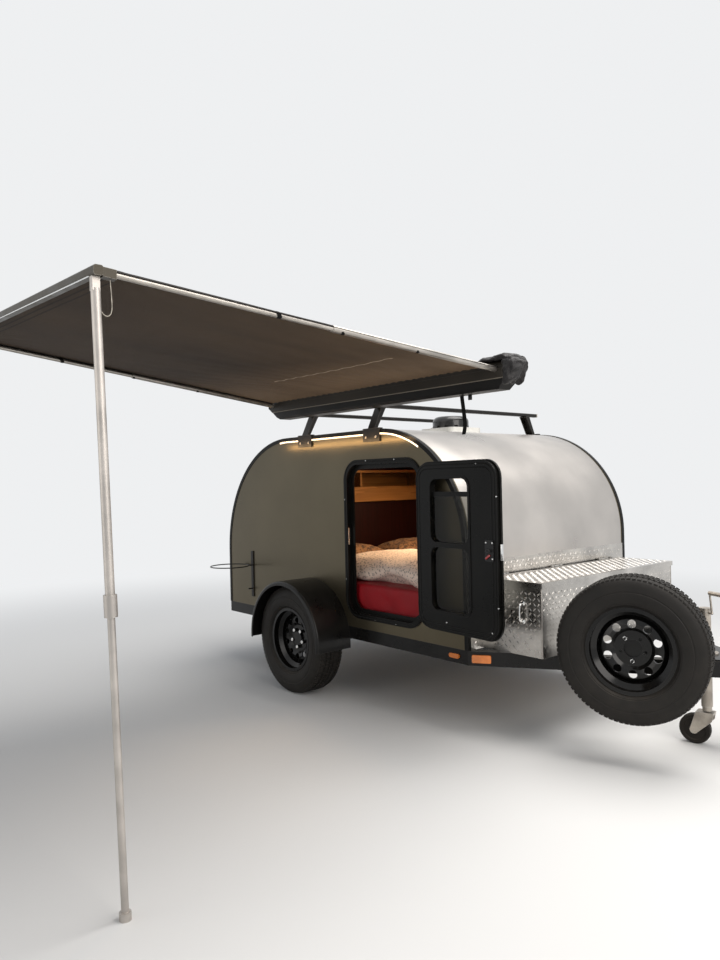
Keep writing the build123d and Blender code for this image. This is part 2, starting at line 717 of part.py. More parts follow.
def chassis():
    """Side rails, crossmembers and the A-shaped tongue, welded into one frame."""
    z = (RAIL_BOTTOM, RAIL_TOP)
    frame = both_sides(block((0, BODY_LENGTH), (-HALF, -HALF + RAIL_WIDTH), z))
    last = BODY_LENGTH - RAIL_WIDTH
    ahead = AXLE_X + CROSSMEMBER_AHEAD
    for x in (0, AXLE_X - CROSSMEMBER_BEHIND_AXLE, ahead, (ahead + last) / 2, last):
        frame += block((x, x + RAIL_WIDTH), (-HALF + RAIL_WIDTH, HALF - RAIL_WIDTH), z)
    apex_x = BODY_LENGTH + HALF / TONGUE_SLOPE
    member = prism_xy([
        (last, -HALF), (BODY_LENGTH, -HALF), (apex_x, 0), (apex_x - TONGUE_STEP / TONGUE_SLOPE, 0),
        (last, TONGUE_STEP - tongue_half_width(last))], z)
    frame += both_sides(member)
    frame -= block((TONGUE_END_X, apex_x + 1), (-HALF, HALF), grown(z, 1))
    back = JACK_X - JACK_PLATE_BACK
    half = tongue_half_width(back) - RAIL_WIDTH
    corners = [(back, -half), (back, half), (TONGUE_END_X, TONGUE_TIP_HALF), (TONGUE_END_X, -TONGUE_TIP_HALF)]
    plate_z = (RAIL_TOP, RAIL_TOP + JACK_PLATE)
    plate = prism_xy(corners, plate_z) - rod_z(JACK_X, 0, grown(plate_z, 1), JACK_RADIUS)
    return frame + plate


def coupler():
    """The ball coupler at the tip of the tongue, open underneath, with its latch."""
    half = COUPLER_WIDTH / 2
    root = half + COUPLER_FLARE
    shell = COUPLER_SHELL
    low = RAIL_TOP - COUPLER_HEIGHT
    outside = [(TONGUE_END_X, -root), (COUPLER_X, -half), (COUPLER_X, half), (TONGUE_END_X, root)]
    inside = [
        (TONGUE_END_X + shell, shell - root), (COUPLER_X + 1, shell - half),
        (COUPLER_X + 1, half - shell), (TONGUE_END_X + shell, root - shell)]
    body = prism_xy(outside, (low, RAIL_TOP)) - prism_xy(inside, (low - 1, RAIL_TOP - shell))
    body += coupler_cup(COUPLER_SOCKET + shell)
    body -= coupler_cup(COUPLER_SOCKET)
    length, width, thick = COUPLER_HANDLE
    latch_x = COUPLER_X - COUPLER_LATCH_BACK
    latch = rod_y(latch_x, around(0, width), RAIL_TOP + 2, COUPLER_LATCH_RADIUS)
    handle_z = RAIL_TOP + COUPLER_LATCH_RADIUS / 2
    handle = block((latch_x - length, latch_x), around(0, width), (handle_z, handle_z + thick))
    return body + latch + handle


def coupler_cup(radius):
    """A round-topped plug on the ball's centre: the outside or the inside of the socket."""
    low = -COUPLER_BALL_RADIUS + 5
    shoulder = radius * 0.55
    top = sqrt(radius ** 2 - shoulder ** 2)
    bend = (radius * cos(radians(30)), 0, radius * sin(radians(30)))
    face = make_face([
        Line((0, 0, low), (radius, 0, low)),
        Line((radius, 0, low), (radius, 0, 0)),
        ThreePointArc((radius, 0, 0), bend, (shoulder, 0, top)),
        Line((shoulder, 0, top), (0, 0, radius)),
        Line((0, 0, radius), (0, 0, low)),
    ])
    return Pos(COUPLER_X, 0, COUPLER_Z) * revolve(face, Axis.Z)


def tyre():
    """A road tyre about the Z axis, with its width along Z."""
    half = TYRE_WIDTH / 2
    bead = RIM_RADIUS + SEAT_GAP
    bead_half = RIM_WIDTH / 2 - RIM_SHEET - SEAT_GAP
    lip = RIM_RADIUS + RIM_FLANGE + 3
    crown = TYRE_RADIUS - TYRE_CROWN
    belly = (bead + TYRE_RADIUS) / 2
    shoulder = [(crown - 12, half - 16), (crown - 3, half - 20), (crown, half - 30)]
    below = [(r, -z) for r, z in reversed(shoulder)]
    edges = [
        Line((bead, -bead_half), (bead, bead_half)),
        Line((bead, bead_half), (lip, bead_half)),
        ThreePointArc((lip, bead_half), (belly, half), shoulder[0]),
        ThreePointArc(*shoulder),
        ThreePointArc(shoulder[2], (TYRE_RADIUS, 0), below[0]),
        ThreePointArc(*below),
        ThreePointArc(below[2], (belly, -half), (lip, -bead_half)),
        Line((lip, -bead_half), (bead, -bead_half)),
    ]
    return revolve(Plane.XZ * make_face(edges), Axis.Z)


def rim():
    """A steel wheel about the Z axis, its face towards +Z: barrel, drop centre and pierced disc."""
    half = RIM_WIDTH / 2
    r = RIM_RADIUS
    s = RIM_SHEET
    lip = r + RIM_FLANGE
    well = r - RIM_DROP
    barrel = [
        (lip, half), (lip, half - s), (r, half - s), (r, half - 38), (well, half - 56), (well, half - 92),
        (r, half - 112), (r, s - half), (lip, s - half), (lip, -half), (r - s, -half), (r - s, half - 114),
        (well - s, half - 94), (well - s, half - 54), (r - s, half - 36), (r - s, half)]
    disc_edge = well - s + 1
    disc = [
        (WHEEL_BORE, 0), (WHEEL_BORE, 8), (84, 8), (100, 22), (RIM_WINDOW_RING, 27), (140, 22),
        (disc_edge, 2), (disc_edge, -8), (138, 14), (RIM_WINDOW_RING, 19), (104, 15), (88, 0)]
    wheel = revolve(Plane.XZ * make_face(Polyline(*barrel, close=True)), Axis.Z)
    wheel += revolve(Plane.XZ * make_face(Polyline(*disc, close=True)), Axis.Z)
    for spot in PolarLocations(RIM_WINDOW_RING, RIM_WINDOW_COUNT):
        wheel -= spot * Cylinder(RIM_WINDOW_RADIUS, RIM_WIDTH / 2)
    return wheel


def lug_spots(count=LUG_COUNT):
    """The places of the wheel nuts round the wheel's middle."""
    return PolarLocations(LUG_RING, count, start_angle=LUG_TURN)


def placed(shape, centre, outward):
    """A wheel part turned so that its face looks along outward."""
    return Plane(origin=centre, x_dir=(0, 0, 1), z_dir=outward) * shape


def road_wheel():
    """The right road wheel: rim, hub bored for the spindle, and wheel nuts."""
    hub = Pos(0, 0, -0.3 * HUB_LENGTH) * Cylinder(HUB_RADIUS, HUB_LENGTH)
    hub += Pos(0, 0, -6) * Cylinder(HUB_FLANGE_RADIUS, 12)
    hub -= Pos(0, 0, -0.42 * HUB_LENGTH) * Cylinder(SPINDLE_RADIUS + PIN_GAP, 0.9 * HUB_LENGTH)
    wheel = rim() + hub
    for spot in lug_spots():
        wheel += spot * (Pos(0, 0, 8 + LUG_HEIGHT / 2 - 1) * Cylinder(LUG_RADIUS, LUG_HEIGHT + 2))
    return placed(wheel, (AXLE_X, -TRACK_HALF, AXLE_Z), (0, -1, 0))


def axle():
    """Torsion axle: square tube under the rails, trailing arms and spindles."""
    tube_x = AXLE_X + AXLE_LEAD
    mid = RAIL_BOTTOM - AXLE_TUBE / 2
    arm_y = (-HALF + 2, -HALF + 2 + AXLE_ARM)
    beam = block(around(tube_x, AXLE_TUBE), (arm_y[1], -arm_y[1]), (RAIL_BOTTOM - AXLE_TUBE, RAIL_BOTTOM))
    eye = AXLE_TUBE / 2 - 4
    arm = prism_xz([
        (AXLE_X, AXLE_Z - eye), (AXLE_X, AXLE_Z + eye), (tube_x, mid + eye), (tube_x, mid - eye)], arm_y)
    arm += rod_y(AXLE_X, arm_y, AXLE_Z, eye) + rod_y(tube_x, arm_y, mid, eye)
    spindle = rod_y(AXLE_X, (-TRACK_HALF + 2, arm_y[1]), AXLE_Z, SPINDLE_RADIUS)
    return beam + both_sides(arm + spindle)


def arch(radius, bottom, y):
    """A half disc over the axle with straight sides down to bottom."""
    ends = (AXLE_X - radius, AXLE_X + radius)
    edges = [
        Line((ends[0], y[0], bottom), (ends[1], y[0], bottom)),
        Line((ends[1], y[0], bottom), (ends[1], y[0], AXLE_Z)),
        ThreePointArc((ends[1], y[0], AXLE_Z), (AXLE_X, y[0], AXLE_Z + radius), (ends[0], y[0], AXLE_Z)),
        Line((ends[0], y[0], AXLE_Z), (ends[0], y[0], bottom)),
    ]
    return extrude(make_face(edges), amount=y[1] - y[0], dir=(0, 1, 0))


def rounded_arch(radius, bottom, y, corner):
    """An arch whose outer edge, at y[0], is rounded where the hood turns into the lip."""
    shape = arch(radius, bottom, y)
    face_edges = shape.edges().filter_by_position(Axis.Y, y[0] - 0.1, y[0] + 0.1)
    return fillet([e for e in face_edges if e.center().Z > bottom + 1], corner)


def fender():
    """The right fender: a half-round sheet hood with a turned-in outer lip, open below."""
    bottom = AXLE_Z - FENDER_SKIRT
    inner = FENDER_RADIUS - FENDER_SHEET
    inner_y = (-FENDER_OUT + FENDER_SHEET, -HALF + 1)
    hood = rounded_arch(FENDER_RADIUS, bottom, (-FENDER_OUT, -HALF), FENDER_EDGE)
    hood -= rounded_arch(inner, bottom - 1, inner_y, FENDER_EDGE - FENDER_SHEET)
    return hood - arch(FENDER_RADIUS - FENDER_LIP, bottom - 2, (-FENDER_OUT - 1, -HALF + 1))


def tongue_box():
    """The sheet box on the tongue, open at the top, with its half of the lid's hinges."""
    x = (BOX_X, BOX_X + BOX_LENGTH)
    w = BOX_HALF_WIDTH
    s = BOX_SHEET
    shell = block(x, (-w, w), (RAIL_TOP, BOX_TOP - s))
    shell -= block(grown(x, -s), (-w + s, w - s), (RAIL_TOP + s, BOX_TOP))
    for y in LID_HINGE_Y:
        span = around(y, LID_HINGE_WIDTH)
        low = BOX_TOP - 4 * LID_KNUCKLE
        shell += block((x[0], LID_PIN_X + LID_KNUCKLE), span, (low, LID_PIN_Z))
        shell += rod_y(LID_PIN_X, span, LID_PIN_Z, LID_KNUCKLE)
        shell += rod_y(LID_PIN_X, grown(span, LID_HINGE_WIDTH / 2 + MOVING_GAP), LID_PIN_Z, LID_KNUCKLE / 2)
    return shell


def box_lid():
    """The tongue box lid with its turned-down edges and hinge knuckles."""
    s = BOX_SHEET
    x = (LID_PIN_X + LID_KNUCKLE + MOVING_GAP, BOX_X + BOX_LENGTH + LID_OVERHANG)
    w = BOX_HALF_WIDTH + LID_OVERHANG
    top = BOX_TOP + LID_RISE
    lid = block(x, (-w, w), (top - LID_SKIRT, top))
    lid -= block((x[0] - 1, x[1] - s), (-w + s, w - s), (top - LID_SKIRT - 1, top - s))
    width = LID_HINGE_WIDTH / 2 - MOVING_GAP
    for y in LID_HINGE_Y:
        for side in (-1, 1):
            span = around(y + side * (LID_HINGE_WIDTH / 2 + MOVING_GAP + width / 2), width)
            lid += block((LID_PIN_X, x[0] + LID_RISE), span, (top - s, top))
            lid += rod_y(LID_PIN_X, span, LID_PIN_Z, LID_KNUCKLE)
            lid -= rod_y(LID_PIN_X, grown(span, 1), LID_PIN_Z, LID_KNUCKLE / 2 + PIN_GAP)
    return lid


def spare_plane(offset):
    """A plane facing out of the spare wheel, offset along its axis."""
    out = (SPARE_SINE, -SPARE_COSINE, 0)
    origin = (SPARE_X + out[0] * offset, SPARE_Y + out[1] * offset, SPARE_Z)
    return Plane(origin=origin, x_dir=(0, 0, 1), z_dir=out)


def spare_carrier():
    """Post on the right tongue member, arm, plate and studs that hold the spare wheel."""
    standing = (Align.CENTER, Align.CENTER, Align.MIN)
    tube = CARRIER_TUBE
    thick = CARRIER_PLATE_THICK
    carrier = spare_plane(-thick) * Cylinder(CARRIER_PLATE, thick, align=standing)
    carrier += spare_plane(-CARRIER_BACK) * Box(tube, tube, CARRIER_BACK - thick, align=standing)
    foot = spare_plane(-CARRIER_BACK).origin
    height = SPARE_Z + tube / 2 - RAIL_TOP
    turn = Pos(foot.X, foot.Y, RAIL_TOP) * Rot(0, 0, TONGUE_ANGLE)
    carrier += turn * Box(tube, tube, height, align=standing)
    stud = Pos(LUG_RING, 0, 0) * Cylinder(STUD_RADIUS, STUD_LENGTH, align=standing)
    for angle in STUD_TURNS:
        carrier += spare_plane(-2) * (Rot(0, 0, LUG_TURN + angle) * stud)
    return carrier


def spare_wheel():
    """The spare's rim, bored for the carrier's studs."""
    wheel = rim()
    for spot in lug_spots():
        wheel -= spot * (Pos(0, 0, 4) * Cylinder(STUD_RADIUS + 1.5, STUD_LENGTH))
    return spare_plane(0) * wheel


def jack_tube():
    """The jack's outer tube through the tongue plate, with flange, cap and crank."""
    tube = rod_z(JACK_X, 0, (JACK_BOTTOM, JACK_TOP), JACK_RADIUS)
    tube -= rod_z(JACK_X, 0, (JACK_BOTTOM - 1, JACK_TOP - JACK_CAP), JACK_RADIUS - JACK_WALL)
    tube += rod_z(JACK_X, 0, (JACK_TOP - 3 * JACK_CAP, JACK_TOP), JACK_RADIUS + 2)
    tube -= rod_z(JACK_X, 0, (JACK_TOP - 3 * JACK_CAP - 1, JACK_TOP - JACK_CAP), JACK_RADIUS - JACK_WALL)
    flange_z = RAIL_TOP + JACK_PLATE
    flange = rod_z(JACK_X, 0, (flange_z, flange_z + JACK_PLATE), JACK_RADIUS + JACK_FLANGE)
    flange -= rod_z(JACK_X, 0, (flange_z - 1, flange_z + JACK_PLATE + 1), JACK_RADIUS - 1)
    return tube + flange + crank()


def crank():
    """The jack's side crank: shaft, upright arm and level grip."""
    a = radians(CRANK_TURN)
    side = (cos(a), sin(a))
    hub_z = JACK_TOP - CRANK_DROP

    def beside(reach, rise):
        return (JACK_X + side[0] * reach, side[1] * reach, hub_z + rise)

    shaft_end = beside(JACK_RADIUS + CRANK_SHAFT, 0)
    arm_end = beside(JACK_RADIUS + CRANK_SHAFT - CRANK_BACK, CRANK_REACH)
    grip_end = beside(JACK_RADIUS + CRANK_SHAFT - CRANK_BACK + CRANK_GRIP_LENGTH, CRANK_REACH)
    shape = rod(beside(JACK_RADIUS - 1, 0), shaft_end, CRANK_ROD + 1)
    shape += Pos(*shaft_end) * Sphere(CRANK_ROD + 1)
    shape += rod(shaft_end, arm_end, CRANK_ROD)
    shape += Pos(*arm_end) * Sphere(CRANK_ROD)
    return shape + rod(arm_end, grip_end, CRANK_GRIP_RADIUS)


def jack_leg():
    """The inner leg of the jack, wound nearly all the way in, with the swivel pin under it."""
    radius = JACK_RADIUS - JACK_WALL - JACK_LEG_CLEARANCE
    leg = rod_z(JACK_X, 0, (JACK_FOOT, JACK_BOTTOM + JACK_LEG_GRIP), radius)
    head = JACK_FOOT - CASTER_HEAD
    leg += rod_z(JACK_X, 0, (head + 2, JACK_FOOT), CASTER_KING_RADIUS)
    return leg + rod_z(JACK_X, 0, (head, head + 5), CASTER_KING_RADIUS + 5)


def in_fork(shape):
    """A caster part, drawn about the swivel pin, turned and placed under the jack."""
    return Pos(JACK_X, 0, 0) * Rot(0, 0, CASTER_TURN) * shape


def caster_fork():
    """The swivelling fork of the jack wheel: crown and two swept cheeks with round eyes."""
    half = CASTER_WIDTH / 2 + MOVING_GAP
    outside = half + FORK_PLATE
    top = FORK_CROWN_Z + FORK_CROWN / 2
    crown_z = (FORK_CROWN_Z - FORK_CROWN / 2, top)
    rear = FORK_EYE / 2 - CASTER_TRAIL
    crown = block((rear, FORK_FRONT), (-outside, outside), crown_z)
    crown -= rod_z(0, 0, grown(crown_z, 1), CASTER_KING_RADIUS + PIN_GAP)
    y = (-outside, -half)
    cheek = prism_xz([
        (FORK_FRONT, top), (rear, top), (-CASTER_TRAIL - FORK_EYE, CASTER_RADIUS),
        (FORK_EYE / 2 - CASTER_TRAIL, CASTER_RADIUS - FORK_EYE * 0.85),
        (FORK_FRONT - 6, top - 2 * FORK_EYE)], y)
    cheek += rod_y(-CASTER_TRAIL, y, CASTER_RADIUS, FORK_EYE)
    cheek -= rod_y(-CASTER_TRAIL, grown(y, 1), CASTER_RADIUS, CASTER_PIN_RADIUS)
    pin = rod_y(-CASTER_TRAIL, (-outside - 4, outside + 4), CASTER_RADIUS, CASTER_PIN_RADIUS)
    return in_fork(crown + both_sides(cheek) + pin)


def caster_wheel():
    """The jack's wheel, bored for its pin, with a thinner web between hub and tread."""
    half = CASTER_WIDTH / 2
    bore = CASTER_PIN_RADIUS + PIN_GAP
    tread = half - 4
    upper = [
        (bore, half), (bore + 16, half), (bore + 20, half - 8), (CASTER_RADIUS - 23, half - 8),
        (CASTER_RADIUS - 19, tread), (CASTER_RADIUS - 6, tread), (CASTER_RADIUS, half - 10)]
    outline = upper + [(r, -z) for r, z in reversed(upper)]
    wheel = Rot(90, 0, 0) * revolve(Plane.XZ * make_face(Polyline(*outline, close=True)), Axis.Z)
    return in_fork(Pos(-CASTER_TRAIL, 0, CASTER_RADIUS) * wheel)


def rack_foot(x):
    """One right-hand rack foot: base on the wall, saddle over the edge and the channel arm to the bar."""
    width = around(x, RACK_FOOT_WIDTH)
    out = -HALF - TRIM_THICK
    sheet = RACK_FOOT_SHEET
    saddle_z = (BODY_TOP + TRIM_THICK, BODY_TOP + TRIM_THICK + sheet)
    foot = block(width, (out - sheet, out), (BODY_TOP - RACK_FOOT_DROP, saddle_z[1]))
    foot += block(width, (out - sheet, out + TRIM_WIDTH), saddle_z)
    top_y = RACK_ARM_LEAN - HALF
    low_y = out - sheet

    def leaning(low, high, x_ends):
        corners = [
            (low_y + low[0], saddle_z[0]), (low_y + low[1], saddle_z[0]),
            (top_y + high[1], RACK_BAR_BOTTOM), (top_y + high[0], RACK_BAR_BOTTOM)]
        return prism_yz(corners, x_ends)

    arm = around(x, RACK_ARM_WIDTH)
    foot += leaning((0, sheet), (-RACK_ARM_FLARE, sheet - RACK_ARM_FLARE), arm)
    for side in ((arm[0], arm[0] + sheet), (arm[1] - sheet, arm[1])):
        foot += leaning((0, RACK_ARM_DEPTH), (-RACK_ARM_FLARE, 0), side)
    foot += block(arm, (top_y - RACK_ARM_FLARE, top_y), (RACK_BAR_BOTTOM - sheet, RACK_BAR_BOTTOM))
    return foot


def rack_feet():
    """The four feet of the roof rack."""
    feet = []
    for x in RACK_BAR_X:
        foot = rack_foot(x)
        feet += [foot, mirrored(foot)]
    return Part() + feet


def rack_bars():
    """The two crossbars, each with a top slot along its length."""
    bars = []
    for x in RACK_BAR_X:
        plane = Plane(origin=(x, -RACK_BAR_HALF, RACK_BAR_Z), x_dir=(1, 0, 0), z_dir=(0, 1, 0))
        section = RectangleRounded(RACK_BAR_WIDTH, RACK_BAR_HEIGHT, RACK_BAR_CORNER)
        bar = extrude(plane * section, amount=2 * RACK_BAR_HALF)
        y = (-RACK_BAR_HALF - 1, RACK_BAR_HALF + 1)
        bar -= block(around(x, RACK_BAR_SLOT), y, (RACK_BAR_TOP - RACK_BAR_SLOT_DEPTH, RACK_BAR_TOP + 1))
        bars.append(bar)
    return Part() + bars


def vent_base():
    """The roof vent's flanged base, open in the middle, with its hinge ears and pin."""
    at = Pos(VENT_X, VENT_Y, BODY_TOP)
    step = VENT_SIZE - 2 * VENT_STEP
    base = at * extrude(RectangleRounded(VENT_SIZE, VENT_SIZE, VENT_CORNER), amount=VENT_FLANGE)
    base += at * extrude(RectangleRounded(step, step, VENT_CORNER + 10), amount=VENT_RISE)
    base -= at * Box(VENT_OPENING, VENT_OPENING, 4 * VENT_RISE)
    for y in (VENT_Y - VENT_EAR_Y, VENT_Y + VENT_EAR_Y):
        base += block(around(VENT_PIN_X, 16), around(y, 12), (VENT_TOP - 1, VENT_PIN_Z + 8))
    reach = grown((VENT_Y, VENT_Y), 1.5 * VENT_EAR_Y)
    return base + rod_y(VENT_PIN_X, reach, VENT_PIN_Z, VENT_PIN_RADIUS)


def dome(radius, height, corner):
    """A round cap standing on the origin with its top edge rounded."""
    cap = Cylinder(radius, height, align=(Align.CENTER, Align.CENTER, Align.MIN))
    return fillet(cap.edges().sort_by(Axis.Z)[-1], corner)


def vent_lid():
    """The domed lid of the vent, its rim notched all round, with its hinge arm."""
    low = VENT_TOP + MOVING_GAP
    lid = dome(DOME_RADIUS, DOME_HEIGHT, DOME_CORNER)
    lid -= dome(DOME_RADIUS - DOME_SHELL, DOME_HEIGHT - DOME_SHELL, DOME_CORNER - DOME_SHELL)
    for spot in PolarLocations(DOME_RADIUS, DOME_NOTCHES):
        lid -= spot * Box(*DOME_NOTCH)
    rear = VENT_X - DOME_RADIUS
    y = grown((VENT_Y, VENT_Y), VENT_ARM_HALF)
    arm = rod_y(VENT_PIN_X, y, VENT_PIN_Z, VENT_PIN_RADIUS + 4)
    arm += block((VENT_PIN_X, rear + 14), y, (VENT_PIN_Z, VENT_PIN_Z + 7))
    arm += block((rear - 1, rear + 14), y, (VENT_PIN_Z, VENT_PIN_Z + 26))
    arm -= rod_y(VENT_PIN_X, grown(y, 1), VENT_PIN_Z, VENT_PIN_RADIUS + PIN_GAP)
    inside = rod_z(VENT_X, VENT_Y, (low, low + DOME_HEIGHT), DOME_RADIUS - DOME_SHELL)
    return Pos(VENT_X, VENT_Y, low) * lid + (arm - inside)


def case_section(margin):
    """The awning case's outline as (Y, Z) corners, grown by a margin: a face over a pan that is set back."""
    y = (CASE_FRONT_Y - margin, CASE_BACK_Y + margin)
    z = (CASE_BOTTOM - margin, CASE_TOP + margin)
    c = CASE_CHAMFER
    pan_y = y[0] + CASE_PAN_INSET
    pan_z = CASE_BOTTOM + CASE_PAN_HEIGHT
    face = [(y[1], z[1]), (y[0] + c, z[1]), (y[0], z[1] - c), (y[0], pan_z)]
    return face + [(pan_y, pan_z), (pan_y, z[0] + c), (pan_y + c, z[0]), (y[1], z[0])]


def awning_case():
    """The long case that the awning rolls into, with its end caps and its hooks under the crossbars."""
    x = (CASE_START_X, CASE_END_X)
    case = prism_yz(case_section(0), x)
    for cap in ((x[0], x[0] + CASE_CAP), (x[1] - CASE_CAP, x[1])):
        case += prism_yz(case_section(CASE_CAP_LIP), cap)
    mouth_top = CASE_TOP - CASE_MOUTH_DROP
    mouth_y = (CASE_FRONT_Y - CASE_CAP_LIP - 1, CASE_FRONT_Y + CASE_MOUTH_DEPTH)
    case -= block(grown(x, 1), mouth_y, (mouth_top - CASE_MOUTH_WIDTH, mouth_top))
    low = CASE_BOTTOM - CASE_CAP_LIP - 1
    wide = grown((CASE_FRONT_Y, CASE_BACK_Y), CASE_CAP_LIP + 1)
    for end, (length, height) in ((x[0], CASE_REAR_TIP), (x[1], (-CASE_FRONT_TIP[0], CASE_FRONT_TIP[1]))):
        beyond = end - (1 if length > 0 else -1)
        case -= prism_xz([(beyond, low), (end + length, low), (beyond, CASE_BOTTOM + height)], wide)
    plate_z = (RACK_BAR_BOTTOM - CASE_HOOK_THICK, RACK_BAR_BOTTOM)
    for bar_x in RACK_BAR_X:
        hook_x = around(bar_x, 2 * CASE_HOOK_HALF)
        case += block(hook_x, (CASE_BACK_Y, CASE_BACK_Y + CASE_HOOK_REACH), plate_z)
        case += block(hook_x, (CASE_BACK_Y, CASE_BACK_Y + CASE_HOOK_THICK), (plate_z[0], RACK_BAR_TOP))
    return case


def awning_bag():
    """The loose cloth bag, bunched on top of the case's front end and hanging over its tip."""
    end = CASE_END_X + SEAT_GAP
    top = CASE_TOP + CASE_CAP_LIP + SEAT_GAP
    outline = [
        (end - BAG_BACK, top), (end - 0.55 * BAG_BACK, top + 0.7 * BAG_RISE), (end, top + BAG_RISE),
        (end + 0.75 * BAG_LENGTH, top + 0.6 * BAG_RISE), (end + BAG_LENGTH, top - 0.1 * BAG_HANG),
        (end + 0.82 * BAG_LENGTH, top - 0.5 * BAG_HANG), (end + 0.6 * BAG_LENGTH, top - 0.8 * BAG_HANG),
        (end + 0.25 * BAG_LENGTH, top - BAG_HANG), (end, top - BAG_HANG), (end, top)]
    y = (CASE_FRONT_Y - BAG_OVERLAP[0], CASE_BACK_Y + BAG_OVERLAP[1])
    bag = prism_xz(outline, y)
    side_edges = [e for e in bag.edges() if abs(e.center().Y - sum(y) / 2) > (y[1] - y[0]) / 3]
    return chamfer([e for e in side_edges if e.center().Z > top + 1], BAG_CORNER)


def lead_z(x):
    """Height of the lead rail at x: its rear end stands higher, so that rain runs off at the front corner."""
    return LEAD_Z + LEAD_RISE * (RAFTER_X[1] - x) / (RAFTER_X[1] - RAFTER_X[0])


def lead_bar(size, corner):
    """A square bar along the lead rail's line."""
    a, b = [Vector(x, LEAD_Y, lead_z(x)) for x in grown(RAFTER_X, LEAD_OVERHANG)]
    section = Plane(origin=a, x_dir=(0, 1, 0), z_dir=b - a)
    return section * extrude(RectangleRounded(size, size, corner), amount=(b - a).length)


def rafter_line(x):
    """Centre line of a rafter: from the case's face to the lead rail."""
    return (x, CASE_FRONT_Y, CASE_TOP - RAFTER_DROP), (x, LEAD_Y + LEAD_SIZE / 2, lead_z(x))


def rafter_slope(x):
    """How much a rafter at x climbs for each millimetre towards +Y."""
    start, end = rafter_line(x)
    return (end[2] - start[2]) / (end[1] - start[1])


def awning_rafters():
    """The two telescoping rafters that spread the canopy."""
    rafters = []
    for x in RAFTER_X:
        start, end = rafter_line(x)
        split = [s + (e - s) * RAFTER_SPLIT for s, e in zip(start, end)]
        bar = rod(start, end, RAFTER_RADIUS) + rod(start, split, RAFTER_SLEEVE_RADIUS)
        width = around(x, 4 * RAFTER_SLEEVE_RADIUS)
        rafters.append(bar & block(width, (end[1], start[1]), (CASE_BOTTOM, 2 * LEAD_Z)))
    return Part() + rafters


def awning_lead():
    """The lead rail along the canopy's outer edge, with the corner blocks that take rafters and legs."""
    rail = lead_bar(LEAD_SIZE, LEAD_CORNER)
    for x in RAFTER_X:
        start, end = rafter_line(x)
        y = (end[1] - 1, end[1] + LEAD_BLOCK_REACH)
        drop = rafter_slope(x) * LEAD_BLOCK_REACH
        low = end[2] - LEAD_SIZE / 2 - LEAD_BLOCK_DROP
        high = end[2] + RAFTER_RADIUS
        cheek = [(y[0], low), (y[0], high), (y[1], high + drop), (y[1], low + drop)]
        rail += prism_yz(cheek, around(x, 2 * LEAD_OVERHANG)) - rod(end, start, RAFTER_RADIUS + SEAT_GAP)
    return rail


def awning_legs():
    """The two telescoping legs under the lead rail, leaning a little, with knuckle, collar and foot."""
    legs = []
    rail = lead_bar(LEAD_SIZE + 2 * SEAT_GAP, LEAD_CORNER)
    for x in LEG_X:
        rail_z = lead_z(x)
        tube_top = rail_z - LEAD_SIZE / 2 - LEG_KNUCKLE_HEIGHT

        def at(z):
            return (x, LEAD_Y + LEG_LEAN * (rail_z - z) / rail_z, z)

        leg = rod(at(0), at(tube_top), LEG_RADIUS) + rod(at(LEG_COLLAR_Z), at(tube_top), LEG_SLEEVE_RADIUS)
        collar = (at(LEG_COLLAR_Z - LEG_COLLAR_LOW), at(LEG_COLLAR_Z + LEG_COLLAR_HIGH))
        leg += rod(collar[0], collar[1], LEG_SLEEVE_RADIUS + LEG_COLLAR_WALL)
        leg += rod(at(0), at(LEG_FOOT_HEIGHT), LEG_FOOT_RADIUS)
        knuckle_z = (tube_top - LEG_KNUCKLE_GRIP, rail_z)
        leg += block(around(x, LEG_KNUCKLE), around(LEAD_Y, LEG_KNUCKLE), knuckle_z) - rail
        legs.append(leg & block(around(x, 4 * LEG_FOOT_RADIUS), (LEAD_Y - 100, CASE_FRONT_Y), (0, rail_z)))
    return Part() + legs


def awning_canopy():
    """The canopy cloth, a thin sheet over the rafters from the case to the lead rail."""
    ends = (CASE_FRONT_Y - CASE_CAP_LIP - SEAT_GAP, LEAD_Y + LEAD_SIZE / 2 + SEAT_GAP)
    sections = []
    for x in grown(RAFTER_X, RAFTER_SLEEVE_RADIUS):
        start, _ = rafter_line(x)
        slope = rafter_slope(x)
        above = (RAFTER_SLEEVE_RADIUS + SEAT_GAP) * hypot(1, slope)
        under = [(x, y, start[2] + slope * (y - start[1]) + above) for y in ends]
        over = [(x, y, z + CANOPY_THICK) for x, y, z in reversed(under)]
        sections.append(make_face(Polyline(*under, *over, close=True)))
    return loft(sections, ruled=True)


def led_strip():
    """The light strip under the trim along the right roof edge."""
    y = (-HALF - LED_THICK, -HALF)
    above = (FRONT_SPRING, BODY_TOP)
    strip = body_profile(TRIM_WIDTH, BODY_BOTTOM, y)
    strip -= body_profile(TRIM_WIDTH + LED_WIDTH, BODY_BOTTOM - 1, grown(y, 1))
    strip = strip & block((LED_START_X, LED_END_X), y, above)
    for x in RACK_BAR_X:
        strip -= block(around(x, RACK_FOOT_WIDTH), grown(y, 1), above)
    return strip


def hoop_holder():
    """The bar on the right wall with its level hoop and the hook below it."""
    x = HOLDER_X
    out = -HALF - HOLDER_THICK
    bar = block(around(x, HOLDER_WIDTH), (out, -HALF), (HOLDER_BOTTOM, HOLDER_TOP))
    centre_x, centre_y = HOOP_CENTRE
    hoop = Pos(centre_x, centre_y, HOOP_Z) * Torus(HOOP_RADIUS, HOOP_ROD)
    share = HOOP_RADIUS / hypot(x - centre_x, out - centre_y)
    near = (centre_x + (x - centre_x) * share, centre_y + (out - centre_y) * share, HOOP_Z)
    stub = rod(near, (x, out + 2, HOOP_Z), HOOP_ROD + 1)
    hook = rod_y(x, (out - HOOK_REACH, out + 1), HOLDER_BOTTOM + HOOK_RISE, HOOK_RADIUS)
    return bar + hoop + stub + hook


